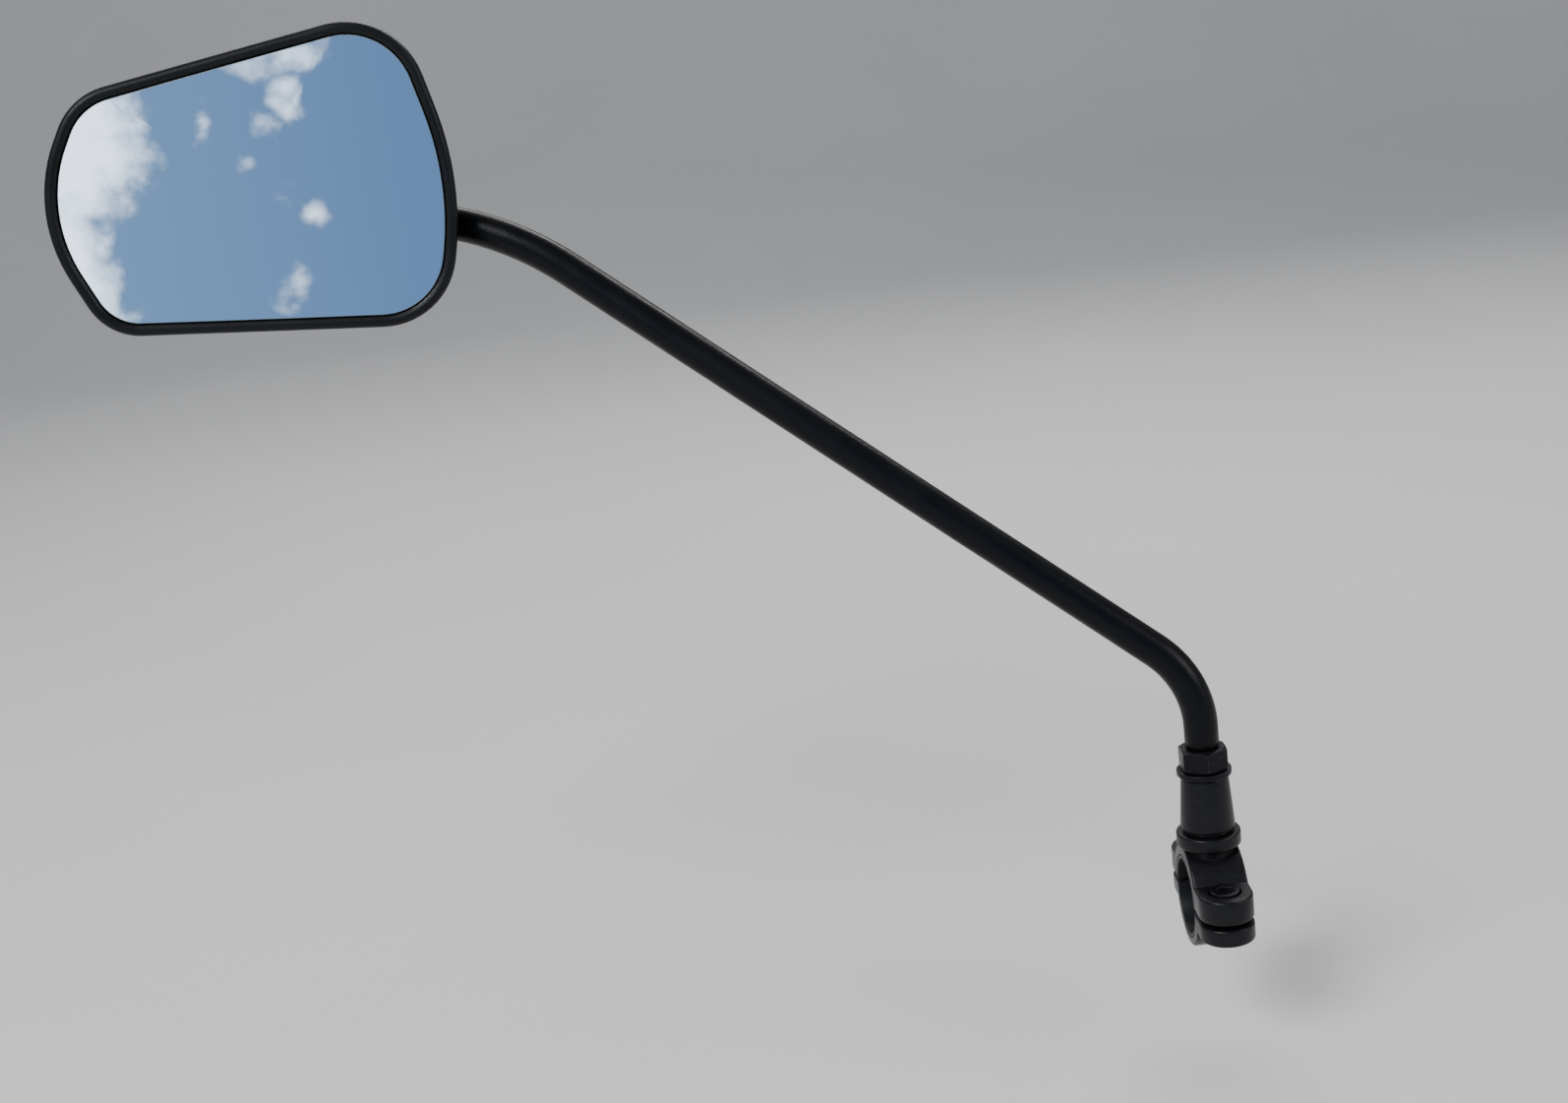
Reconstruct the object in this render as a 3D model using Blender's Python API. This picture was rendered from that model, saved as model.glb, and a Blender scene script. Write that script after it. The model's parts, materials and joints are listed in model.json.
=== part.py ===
"""Left-hand handlebar mirror for a bicycle: a two-half bar clamp, a bent rod and a ball-jointed head.

Metres, +Z up. The origin is on the handlebar's axis, at the middle of the clamp. +X runs along the
bar towards the middle of the bicycle, +Y is the riding direction, and the glass faces the rider.
"""

import math

import bmesh
import bpy
from mathutils import Matrix, Vector

MM = 0.001

# Clearances: between faces that seat on each other, round a shaft in its hole, and in the ball joint.
SEAT_GAP = 0.3 * MM
FIT_GAP = 0.3 * MM

# Handlebar clamp.
BAR_RADIUS = 11.1 * MM
SHIM_WALL = 1.0 * MM
UPPER_WALL = 3.2 * MM
CLAMP_WIDTH = 16.0 * MM
CLAMP_SPLIT = 1.5 * MM
UPPER_EAR = 7.4 * MM
LOWER_EAR = 5.2 * MM
LOWER_WALL = 2.4 * MM
EAR_WEB = 1.2 * MM
CLAMP_EDGE = 0.5 * MM
PEDESTAL_RADIUS = 9.4 * MM
PEDESTAL_HEIGHT = 4.2 * MM
PEDESTAL_NECK = 0.7 * MM
PEDESTAL_NECK_RADIUS = 7.6 * MM
CAP_SCREW_RADIUS = 2.5 * MM
CAP_HEAD_RADIUS = 4.25 * MM
CAP_HEAD_HEIGHT = 5.0 * MM
CAP_HEAD_SUNK = 4.6 * MM
CAP_SOCKET = 4.0 * MM
CAP_SOCKET_DEPTH = 2.6 * MM

# Boss and the fasteners that hold the rod in it.
BOSS_HEIGHT = 16.2 * MM
BOSS_BOTTOM_RADIUS = 8.0 * MM
BOSS_TOP_RADIUS = 6.9 * MM
BOSS_EDGE = 0.5 * MM
BOSS_STUD_RADIUS = 5.0 * MM
BOSS_STUD_LENGTH = 6.0 * MM
BOSS_WASHER_RADIUS = 7.3 * MM
BOSS_WASHER_THICKNESS = 0.6 * MM
THREAD_RADIUS = 4.0 * MM
THREAD_REACH = 11.0 * MM
THREAD_END_ROOM = 1.5 * MM
NUT_FLATS = 13.0 * MM
NUT_HEIGHT = 6.4 * MM
NUT_CHAMFER = 0.6 * MM
WASHER_RADIUS = 8.0 * MM
WASHER_THICKNESS = 1.6 * MM
WASHER_EDGE = 0.2 * MM

# Rod: it rises from the clamp, bends outboard, runs straight, and bends again towards the head.
ROD_RADIUS = 5.0 * MM
ROD_CORNER_HEIGHT = 67.6 * MM
ROD_STRAIGHT = 235.5 * MM
ROD_CLIMB = math.radians(37.75)
ROD_LOWER_BEND = 30.0 * MM
ROD_END_LENGTH = 28.7 * MM
ROD_END_CLIMB = math.radians(16.6)
ROD_UPPER_BEND = 95.0 * MM
ROD_SWING = math.radians(15.0)
ROD_EDGE = 0.6 * MM

# Ball joint.
BALL_RADIUS = 6.0 * MM
NECK_RADIUS = 3.3 * MM
NECK_LENGTH = 2.0 * MM
NECK_TAPER = 1.8 * MM
BALL_PIN_RADIUS = 2.5 * MM
BALL_PIN_LENGTH = 7.6 * MM
BALL_FLAT = 4.9 * MM
LINER_WALL = 1.0 * MM
LINER_MOUTH = 5.7 * MM
CUP_WALL = 1.8 * MM
CUP_LIP = 5.4 * MM
BALL_SWING = math.radians(21.5)

# Head. Its outline is a six-cornered shape with round corners: each corner's place is a share of the
# head's width, from its inboard edge outwards, and of its height, from its lower edge up.
HEAD_WIDTH = 112.7 * MM
HEAD_HEIGHT = 86.1 * MM
OUTLINE = (
    (0.922, 0.796, 20.0 * MM),
    (0.116, 1.050, 22.0 * MM),
    (-0.0275, 0.470, 90.0 * MM),
    (0.039, -0.0035, 22.0 * MM),
    (0.890, 0.014, 16.0 * MM),
    (1.054, 0.423, 44.45 * MM),
)
HEAD_YAW = math.radians(7.0)
HEAD_PITCH = math.radians(-2.0)
HEAD_ROLL = math.radians(5.0)
BALL_INSET = 8.3 * MM
BALL_HEIGHT = 29.8 * MM
BALL_DEPTH = 19.5 * MM
RIM_WIDTH = 3.2 * MM
RIM_DEPTH = 7.2 * MM
RIM_DRAFT = 0.7 * MM
GLASS_THICKNESS = 2.0 * MM
GLASS_CURVE = 1.2
GLASS_SUNK = 0.5 * MM
GLASS_GAP = 0.35 * MM
SHEET_THICKNESS = 1.0 * MM
SHEET_INSET = 3.0 * MM
PLATE_THICKNESS = 1.5 * MM
SHELL_WALL = 2.0 * MM
SHELL_DOME = 9.5 * MM
SHELL_SEAM = 0.3 * MM

# Cover that holds the ball in its cup, and the three screws in it.
COVER_PLATE = 2.3 * MM
COVER_SCREW_CIRCLE = 13.5 * MM
COVER_SCREW_ANGLES = (105.0, 180.0, 255.0)
COVER_LUG = 4.2 * MM
BLOCK_ROOM = 1.0 * MM
COVER_SCREW_RADIUS = 1.4 * MM
COVER_SCREW_LENGTH = 8.0 * MM
COVER_HEAD_RADIUS = 2.8 * MM
COVER_HEAD_HEIGHT = 2.0 * MM
COVER_SOCKET = 2.0 * MM
COVER_SOCKET_DEPTH = 1.2 * MM

# Rings that the head's curved sheets and its domed back are skinned over.
SHEET_RINGS = (1.0, 0.66, 0.33)
PLATE_RINGS = (1.0, 0.6)
DOME_CLIMBS = (0, 14, 28, 43, 58, 74)
# The rim's bead from its inner wall outwards, as shares of the rim's width and depth.
RIM_BEAD = ((0.98, 0.10), (0.84, 0.02), (0.56, 0.0), (0.28, 0.02), (0.09, 0.09), (0.0, 0.24))
# The most of a side's length that its two round corners take between them.
CORNER_SHARE = 0.998

# Facets: round pieces, holes, the clamp's bands and seat, the bends, the ball joint and the corners.
ROUND_STEPS = 28
SMALL_STEPS = 18
BAND_STEPS = 18
EAR_STEPS = 12
SHIM_STEPS = 20
SEAT_STEPS = 44
LOWER_BEND_STEPS = 9
UPPER_BEND_STEPS = 6
BALL_ROWS = 9
LINER_ROWS = 10
CORNER_STEPS = 6
HULL_SIDES = 72
SHARP_ANGLE = math.radians(35)

# How far a cutting solid runs past the surface that it cuts, and how near two corners are made one.
SLACK = 2.0 * MM
MERGE_DISTANCE = 0.02 * MM

# Sizes that follow from the ones above.
SEAT_RADIUS = BAR_RADIUS + SHIM_WALL + SEAT_GAP
UPPER_RADIUS = SEAT_RADIUS + UPPER_WALL
LOWER_RADIUS = SEAT_RADIUS + LOWER_WALL
SCREW_OFFSET = SEAT_RADIUS + EAR_WEB + CAP_HEAD_RADIUS
PEDESTAL_TOP = UPPER_RADIUS + PEDESTAL_NECK + PEDESTAL_HEIGHT
BOSS_WASHER_BASE = PEDESTAL_TOP + SEAT_GAP
BOSS_BASE = BOSS_WASHER_BASE + BOSS_WASHER_THICKNESS + SEAT_GAP
BOSS_TOP = BOSS_BASE + BOSS_HEIGHT
WASHER_BASE = BOSS_TOP + SEAT_GAP
NUT_BASE = WASHER_BASE + WASHER_THICKNESS + SEAT_GAP
ROD_BASE = NUT_BASE + NUT_HEIGHT + SEAT_GAP
LINER_RADIUS = BALL_RADIUS + FIT_GAP + LINER_WALL
CUP_RADIUS = LINER_RADIUS + FIT_GAP
CUP_OUTER = CUP_RADIUS + CUP_WALL


def clear_scene():
    for old in list(bpy.data.objects):
        bpy.data.objects.remove(old)


def finish_material(name, colour, roughness, metallic=0.0):
    made = bpy.data.materials.get(name) or bpy.data.materials.new(name)
    made.use_nodes = True
    shader = made.node_tree.nodes["Principled BSDF"]
    shader.inputs["Base Color"].default_value = (*colour, 1.0)
    shader.inputs["Roughness"].default_value = roughness
    shader.inputs["Metallic"].default_value = metallic
    return made


def black_paint():
    return finish_material("black_paint", (0.012, 0.013, 0.015), 0.35)


def black_alloy():
    return finish_material("black_alloy", (0.020, 0.021, 0.024), 0.40)


def black_plastic():
    return finish_material("black_plastic", (0.015, 0.016, 0.018), 0.55)


def nylon():
    return finish_material("nylon", (0.55, 0.54, 0.50), 0.50)


def butyl():
    return finish_material("butyl", (0.05, 0.05, 0.05), 0.90)


def mirror_silver():
    return finish_material("mirror_silver", (0.86, 0.90, 0.95), 0.03, 1.0)


def black_steel():
    return finish_material("black_steel", (0.035, 0.036, 0.040), 0.30, 1.0)


def bright_steel():
    return finish_material("bright_steel", (0.60, 0.60, 0.61), 0.25, 1.0)


def new_object(name, shape, material=None, parent=None):
    """Makes an object of a bmesh, shades it smooth with its edges kept sharp, and parents it."""
    bmesh.ops.recalc_face_normals(shape, faces=shape.faces)
    if shape.calc_volume(signed=True) < 0:
        bmesh.ops.reverse_faces(shape, faces=shape.faces)
    mesh = bpy.data.meshes.new(name)
    shape.to_mesh(mesh)
    shape.free()
    if material:
        mesh.materials.append(material)
    mesh.shade_smooth()
    mesh.set_sharp_from_angle(angle=SHARP_ANGLE)
    made = bpy.data.objects.new(name, mesh)
    bpy.context.scene.collection.objects.link(made)
    made.parent = parent
    return made


def new_pivot(name, place, turn=Matrix.Identity(3), parent=None):
    """An empty on a joint's axis, which its moving pieces are parented to."""
    made = bpy.data.objects.new(name, None)
    bpy.context.scene.collection.objects.link(made)
    made.parent = parent
    made.matrix_local = Matrix.Translation(place) @ turn.to_4x4()
    return made


def boolean(target, operation, tool):
    """Adds a Boolean to target, and turns tool into a helper that isn't part of the object."""
    made = target.modifiers.new(f"{operation.lower()} {tool.name}", "BOOLEAN")
    made.operation = operation
    made.solver = "EXACT"
    made.object = tool
    tool.hide_render = True
    tool.display_type = "WIRE"


def ring(radius, height, steps):
    """Points of a circle about Z, at that height."""
    turns = [2 * math.pi * i / steps for i in range(steps)]
    return [Vector((radius * math.cos(a), radius * math.sin(a), height)) for a in turns]


def skinned(rings, closed=False):
    """A solid skinned over rings of as many points each. One point alone stands for a pole.

    A closed skin joins its last ring to its first; an open one gets a face across each end ring.
    """
    shape = bmesh.new()
    loops = [[shape.verts.new(p) for p in points] for points in rings]
    count = max(len(loop) for loop in loops)
    pairs = list(zip(loops, loops[1:]))
    if closed:
        pairs.append((loops[-1], loops[0]))
    for lower, upper in pairs:
        for i in range(count):
            j = (i + 1) % count
            corners = [lower[i % len(lower)], lower[j % len(lower)]]
            corners += [upper[j % len(upper)], upper[i % len(upper)]]
            shape.faces.new(list(dict.fromkeys(corners)))
    if not closed:
        for loop in (loops[0], loops[-1]):
            if len(loop) > 2:
                shape.faces.new(loop)
    return shape


def turned(profile, steps=ROUND_STEPS, closed=False):
    """A solid turned about Z from (radius, height) points. A radius of 0 is a pole."""
    rings = [ring(r, z, steps) if r > 0 else [Vector((0, 0, z))] for r, z in profile]
    return skinned(rings, closed)


def tube(inner, outer, bottom, top, edge=0.0, steps=ROUND_STEPS):
    """A turned ring or washer, with its outer edges chamfered by edge."""
    profile = [(inner, bottom), (outer - edge, bottom), (outer, bottom + edge)]
    profile += [(outer, top - edge), (outer - edge, top), (inner, top)]
    if edge == 0.0:
        profile = [(inner, bottom), (outer, bottom), (outer, top), (inner, top)]
    return turned(profile, steps, closed=True)


def prism(points, bottom, top):
    """A solid with that plan outline, from one height to another."""
    rings = [[Vector((x, y, z)) for x, y in points] for z in (bottom, top)]
    return skinned(rings)


def hexagon(flats, turn=0.0):
    """Plan outline of a hexagon, by the distance across its flats."""
    corner = flats / 2 / math.cos(math.pi / 6)
    turns = [turn + math.pi / 3 * i for i in range(6)]
    return [(corner * math.cos(a), corner * math.sin(a)) for a in turns]


def arc(centre, radius, start, end, steps):
    """Points of a flat arc, between two angles in radians."""
    turns = [start + (end - start) * i / steps for i in range(steps + 1)]
    return [(centre[0] + radius * math.cos(a), centre[1] + radius * math.sin(a)) for a in turns]


def sphere(radius, rows=14, steps=ROUND_STEPS):
    """A ball about the origin, with its poles on Z."""
    rise = [math.pi * i / rows - math.pi / 2 for i in range(rows + 1)]
    profile = [(radius * math.cos(a), radius * math.sin(a)) for a in rise[1:-1]]
    return turned([(0, -radius), *profile, (0, radius)], steps)


def placed(shape, matrix):
    """Moves a bmesh, so that a turned shape can stand on another axis."""
    bmesh.ops.transform(shape, matrix=matrix, verts=shape.verts)
    return shape


def z_axis_to(direction):
    return direction.to_track_quat("Z", "Y").to_matrix().to_4x4()


# Clamp ---------------------------------------------------------------------------------------


def clamp_section(radius, ear):
    """Half the clamp seen along the bar, as (y, z): a band over the bar with an ear on each side."""
    split = CLAMP_SPLIT / 2
    reach = SCREW_OFFSET + CLAMP_WIDTH
    top = split + ear
    start = math.asin(top / radius)
    points = [(reach, split), (reach, top)]
    points += arc((0, 0), radius, start, math.pi - start, BAND_STEPS)
    return points + [(-reach, top), (-reach, split)]


def clamp_plan():
    """The clamp seen from above: round ears, each about its own screw."""
    radius = CLAMP_WIDTH / 2
    front = arc((0, SCREW_OFFSET), radius, 0, math.pi, EAR_STEPS)
    return front + arc((0, -SCREW_OFFSET), radius, math.pi, 2 * math.pi, EAR_STEPS)


def clamp_half(name, radius, ear, upside_down):
    """One half of the clamp, before its holes: the section cut to the plan's outline."""
    side = -1 if upside_down else 1
    section = [(y, side * z) for y, z in clamp_section(radius, ear)]
    half = CLAMP_WIDTH / 2
    rings = [[Vector((x, y, z)) for y, z in section] for x in (-half - SLACK, half + SLACK)]
    body = new_object(name, skinned(rings), black_alloy())
    low, high = sorted((0.0, side * (radius + SLACK)))
    plan = new_object(name + "_plan", prism(clamp_plan(), low, high))
    boolean(body, "INTERSECT", plan)
    return body


def cut_seat(body):
    """Cuts the shims' seat through a half, along the bar."""
    ends = (-CLAMP_WIDTH, CLAMP_WIDTH)
    profile = [(0, ends[0]), (SEAT_RADIUS, ends[0]), (SEAT_RADIUS, ends[1]), (0, ends[1])]
    cylinder = placed(turned(profile, SEAT_STEPS), Matrix.Rotation(math.pi / 2, 4, "Y"))
    boolean(body, "DIFFERENCE", new_object(body.name + "_seat", cylinder))


def screw_places():
    """The two clamp screws' places, in front of the bar and behind it."""
    return (("front", -SCREW_OFFSET), ("rear", SCREW_OFFSET))


def counterbore_floor():
    return CLAMP_SPLIT / 2 + UPPER_EAR - CAP_HEAD_SUNK


def clamp_upper():
    """Upper half, with the pedestal that the boss screws into and the two counterbored screw holes."""
    body = clamp_half("clamp_upper", UPPER_RADIUS, UPPER_EAR, upside_down=False)
    neck_top = UPPER_RADIUS + PEDESTAL_NECK
    profile = [(0, SEAT_RADIUS - SLACK), (PEDESTAL_NECK_RADIUS, SEAT_RADIUS - SLACK)]
    profile += [(PEDESTAL_NECK_RADIUS, neck_top), (PEDESTAL_RADIUS - CLAMP_EDGE, neck_top)]
    profile += [(PEDESTAL_RADIUS, neck_top + CLAMP_EDGE), (PEDESTAL_RADIUS, PEDESTAL_TOP - CLAMP_EDGE)]
    profile += [(PEDESTAL_RADIUS - CLAMP_EDGE, PEDESTAL_TOP), (0, PEDESTAL_TOP)]
    boolean(body, "UNION", new_object("pedestal", turned(profile)))
    cut_seat(body)
    floor = PEDESTAL_TOP - BOSS_STUD_LENGTH - SEAT_GAP
    radius = BOSS_STUD_RADIUS + FIT_GAP
    hole = [(0, floor), (radius, floor), (radius, PEDESTAL_TOP + SLACK), (0, PEDESTAL_TOP + SLACK)]
    boolean(body, "DIFFERENCE", new_object("stud_hole", turned(hole, SMALL_STEPS)))
    top = CLAMP_SPLIT / 2 + UPPER_EAR + SLACK
    shank = CAP_SCREW_RADIUS + FIT_GAP
    head = CAP_HEAD_RADIUS + FIT_GAP
    for place, offset in screw_places():
        step = counterbore_floor()
        hole = [(0, -SLACK), (shank, -SLACK), (shank, step), (head, step), (head, top), (0, top)]
        cutter = placed(turned(hole, SMALL_STEPS), Matrix.Translation((0, offset, 0)))
        boolean(body, "DIFFERENCE", new_object("counterbore_" + place, cutter))
    return body


def clamp_lower(parent):
    """Lower half, which comes off downwards, with the two threaded holes."""
    body = clamp_half("clamp_lower", LOWER_RADIUS, LOWER_EAR, upside_down=True)
    body.parent = parent
    cut_seat(body)
    radius = CAP_SCREW_RADIUS + FIT_GAP
    for place, offset in screw_places():
        cutter = placed(
            turned([(0, -LOWER_RADIUS), (radius, -LOWER_RADIUS), (radius, SLACK), (0, SLACK)], SMALL_STEPS),
            Matrix.Translation((0, offset, 0)),
        )
        boolean(body, "DIFFERENCE", new_object("thread_" + place, cutter))
    return body


def shim(name, upside_down, parent=None):
    """Half a moulded sleeve between the clamp and the bar."""
    side = -1 if upside_down else 1
    outer = BAR_RADIUS + SHIM_WALL
    start = math.asin(CLAMP_SPLIT / 2 / BAR_RADIUS)
    section = arc((0, 0), BAR_RADIUS, start, math.pi - start, SHIM_STEPS)
    section += arc((0, 0), outer, math.pi - start, start, SHIM_STEPS)
    half = CLAMP_WIDTH / 2
    rings = [[Vector((x, y, side * z)) for y, z in section] for x in (-half, half)]
    return new_object(name, skinned(rings), black_plastic(), parent)


def socket_screw(name, radius, length, head_radius, head_height, socket, socket_depth, material):
    """A socket-head screw about Z, its head's seat at the origin and its shank downwards."""
    edge = head_height / 8
    tip = radius / 3
    profile = [(0, -length), (radius - tip, -length), (radius, tip - length), (radius, 0)]
    profile += [(head_radius, 0), (head_radius, head_height - edge)]
    profile += [(head_radius - edge, head_height), (0, head_height)]
    body = new_object(name, turned(profile, SMALL_STEPS), material)
    wrench = prism(hexagon(socket), head_height - socket_depth, head_height + SLACK)
    hole = new_object(name + "_socket", wrench, parent=body)
    boolean(body, "DIFFERENCE", hole)
    return body


def clamp_screws():
    """Two screws from above, sunk in the upper half and threaded into the lower one."""
    length = counterbore_floor() + CLAMP_SPLIT / 2 + LOWER_EAR - 2 * SEAT_GAP
    for place, offset in screw_places():
        body = socket_screw(
            "clamp_screw_" + place,
            CAP_SCREW_RADIUS,
            length,
            CAP_HEAD_RADIUS,
            CAP_HEAD_HEIGHT,
            CAP_SOCKET,
            CAP_SOCKET_DEPTH,
            black_steel(),
        )
        body.location = (0, offset, counterbore_floor() + SEAT_GAP)


# Boss ----------------------------------------------------------------------------------------


def mirror_boss():
    """Tapered boss with a stud below, for the pedestal, and a threaded hole above, for the rod."""
    hole_floor = BOSS_TOP - THREAD_REACH - THREAD_END_ROOM
    hole = THREAD_RADIUS + FIT_GAP
    stud = BOSS_STUD_RADIUS
    stud_end = PEDESTAL_TOP - BOSS_STUD_LENGTH
    profile = [(0, stud_end), (stud - BOSS_EDGE, stud_end), (stud, stud_end + BOSS_EDGE), (stud, BOSS_BASE)]
    profile += [(BOSS_BOTTOM_RADIUS - BOSS_EDGE, BOSS_BASE), (BOSS_BOTTOM_RADIUS, BOSS_BASE + BOSS_EDGE)]
    profile += [(BOSS_TOP_RADIUS, BOSS_TOP - BOSS_EDGE), (BOSS_TOP_RADIUS - BOSS_EDGE, BOSS_TOP)]
    profile += [(hole, BOSS_TOP), (hole, hole_floor), (0, hole_floor)]
    return new_object("mirror_boss", turned(profile), black_alloy())


def boss_washer():
    """Lock washer between the pedestal and the boss."""
    inner = BOSS_STUD_RADIUS + FIT_GAP
    top = BOSS_WASHER_BASE + BOSS_WASHER_THICKNESS
    return new_object("boss_washer", tube(inner, BOSS_WASHER_RADIUS, BOSS_WASHER_BASE, top), black_steel())


def rod_washer():
    """Plain washer under the lock nut."""
    inner = THREAD_RADIUS + FIT_GAP
    top = WASHER_BASE + WASHER_THICKNESS
    shape = tube(inner, WASHER_RADIUS, WASHER_BASE, top, WASHER_EDGE)
    return new_object("rod_washer", shape, black_steel())


def lock_nut(parent):
    """Hexagon nut, its corners turned off at both ends, that locks the rod in the boss."""
    top = NUT_BASE + NUT_HEIGHT
    body = new_object("lock_nut", prism(hexagon(NUT_FLATS, math.pi / 6), NUT_BASE, top), black_steel())
    body.parent = parent
    corner = NUT_FLATS / 2 / math.cos(math.pi / 6)
    waist = corner + NUT_CHAMFER
    flat = NUT_FLATS / 2 - NUT_CHAMFER / 4
    drop = (waist - flat) * math.tan(math.radians(30))
    profile = [(0, NUT_BASE), (flat, NUT_BASE), (waist, NUT_BASE + drop)]
    profile += [(waist, top - drop), (flat, top), (0, top)]
    boolean(body, "INTERSECT", new_object("nut_corners", turned(profile)))
    radius = THREAD_RADIUS + FIT_GAP
    bore = [(0, NUT_BASE - SLACK), (radius, NUT_BASE - SLACK), (radius, top + SLACK), (0, top + SLACK)]
    boolean(body, "DIFFERENCE", new_object("nut_bore", turned(bore, SMALL_STEPS)))
    return body


# Rod -----------------------------------------------------------------------------------------


def rod_plane_point(outboard, height):
    """A point of the rod's own plane, which stands on the boss and swings forward about it."""
    return Vector((-outboard * math.cos(ROD_SWING), outboard * math.sin(ROD_SWING), height))


def rod_corners():
    """Where the rod's three straight runs would meet, and its end, as (outboard, height)."""
    run = (ROD_STRAIGHT * math.cos(ROD_CLIMB), ROD_STRAIGHT * math.sin(ROD_CLIMB))
    end = (ROD_END_LENGTH * math.cos(ROD_END_CLIMB), ROD_END_LENGTH * math.sin(ROD_END_CLIMB))
    second = (run[0], ROD_CORNER_HEIGHT + run[1])
    return (0.0, ROD_CORNER_HEIGHT), second, (second[0] + end[0], second[1] + end[1])


def ball_centre():
    return rod_plane_point(*rod_corners()[2])


def neck_direction():
    """From the ball's centre back along the rod's end."""
    return -rod_plane_point(math.cos(ROD_END_CLIMB), math.sin(ROD_END_CLIMB)).normalized()


def bend(corner, radius, entry, leaving, steps):
    """(place, heading) pairs through one bend that turns outboard, headings as angles of climb."""
    cut = radius * math.tan((entry - leaving) / 2)
    start = (corner[0] - cut * math.cos(entry), corner[1] - cut * math.sin(entry))
    centre = (start[0] + radius * math.sin(entry), start[1] - radius * math.cos(entry))
    made = []
    for i in range(steps + 1):
        climb = entry + (leaving - entry) * i / steps
        place = (centre[0] - radius * math.sin(climb), centre[1] + radius * math.cos(climb))
        made.append((place, climb))
    return made


def rod_stations():
    """(place, heading, radius) along the rod, from its thread's end to the pin inside the ball."""
    upright = math.pi / 2
    thread = THREAD_RADIUS
    foot = BOSS_TOP - THREAD_REACH
    stations = [((0, foot), upright, thread - ROD_EDGE), ((0, foot + ROD_EDGE), upright, thread)]
    stations += [((0, ROD_BASE), upright, thread), ((0, ROD_BASE), upright, ROD_RADIUS - ROD_EDGE)]
    stations += [((0, ROD_BASE + ROD_EDGE), upright, ROD_RADIUS)]
    lower, upper, end = rod_corners()
    for place, climb in bend(lower, ROD_LOWER_BEND, upright, ROD_CLIMB, LOWER_BEND_STEPS):
        stations.append((place, climb, ROD_RADIUS))
    for place, climb in bend(upper, ROD_UPPER_BEND, ROD_CLIMB, ROD_END_CLIMB, UPPER_BEND_STEPS):
        stations.append((place, climb, ROD_RADIUS))
    neck_start = BALL_FLAT + FIT_GAP
    neck_end = neck_start + NECK_LENGTH
    before_ball = (
        (neck_end + NECK_TAPER, ROD_RADIUS),
        (neck_end, NECK_RADIUS),
        (neck_start, NECK_RADIUS),
        (neck_start, BALL_PIN_RADIUS),
        (neck_start - BALL_PIN_LENGTH, BALL_PIN_RADIUS),
    )
    for back, radius in before_ball:
        place = (end[0] - back * math.cos(ROD_END_CLIMB), end[1] - back * math.sin(ROD_END_CLIMB))
        stations.append((place, ROD_END_CLIMB, radius))
    return stations


def mirror_rod(parent):
    """Steel rod: threaded foot, two bends, and a turned-down neck that carries the ball."""
    across = rod_plane_point(0, 1).cross(rod_plane_point(1, 0)).normalized()
    rings = []
    for place, climb, radius in rod_stations():
        centre = rod_plane_point(*place)
        side = rod_plane_point(math.sin(climb), -math.cos(climb))
        turns = [2 * math.pi * i / SMALL_STEPS for i in range(SMALL_STEPS)]
        rings.append([centre + radius * (side * math.cos(a) + across * math.sin(a)) for a in turns])
    return new_object("mirror_rod", skinned(rings), black_paint(), parent)


# Ball joint ----------------------------------------------------------------------------------


def ball(parent):
    """Turned ball, pressed on the rod's pin. Its own Z axis points back along the rod."""
    rim = math.sqrt(BALL_RADIUS**2 - BALL_FLAT**2)
    start = math.asin(BALL_FLAT / BALL_RADIUS)
    rise = [start - (start + math.pi / 2) * i / BALL_ROWS for i in range(BALL_ROWS + 1)]
    bore = BALL_PIN_RADIUS + FIT_GAP
    floor = BALL_FLAT - BALL_PIN_LENGTH
    profile = [(0, floor), (bore, floor), (bore, BALL_FLAT), (rim, BALL_FLAT)]
    profile += [(BALL_RADIUS * math.cos(a), BALL_RADIUS * math.sin(a)) for a in rise[1:-1]]
    profile += [(0, -BALL_RADIUS)]
    return new_object("ball", turned(profile), bright_steel(), parent)


def mouth(near, far, base, spread):
    """A cutter round the neck: a cone about Z that widens with the head's swing."""
    profile = [(0, near), (base + near * spread, near), (base + far * spread, far), (0, far)]
    return turned(profile)


def ball_liner(name, behind, neck, parent):
    """Half a nylon liner between the ball and its cup, split across the head's depth."""
    body = new_object(name, sphere(LINER_RADIUS, LINER_ROWS), nylon(), parent)
    inner = sphere(BALL_RADIUS + FIT_GAP, LINER_ROWS)
    boolean(body, "DIFFERENCE", new_object(name + "_ball", inner, parent=parent))
    throat = placed(mouth(0, 2 * LINER_RADIUS, LINER_MOUTH, 0), z_axis_to(neck))
    boolean(body, "DIFFERENCE", new_object(name + "_mouth", throat, parent=parent))
    side = -1 if behind else 1
    edge = -side * SEAT_GAP / 2
    wide = 2 * LINER_RADIUS
    low, high = sorted((edge, -side * wide))
    square = [(-wide, low), (wide, low), (wide, high), (-wide, high)]
    boolean(body, "INTERSECT", new_object(name + "_half", prism(square, -wide, wide), parent=parent))
    return body


# Head ----------------------------------------------------------------------------------------


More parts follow.
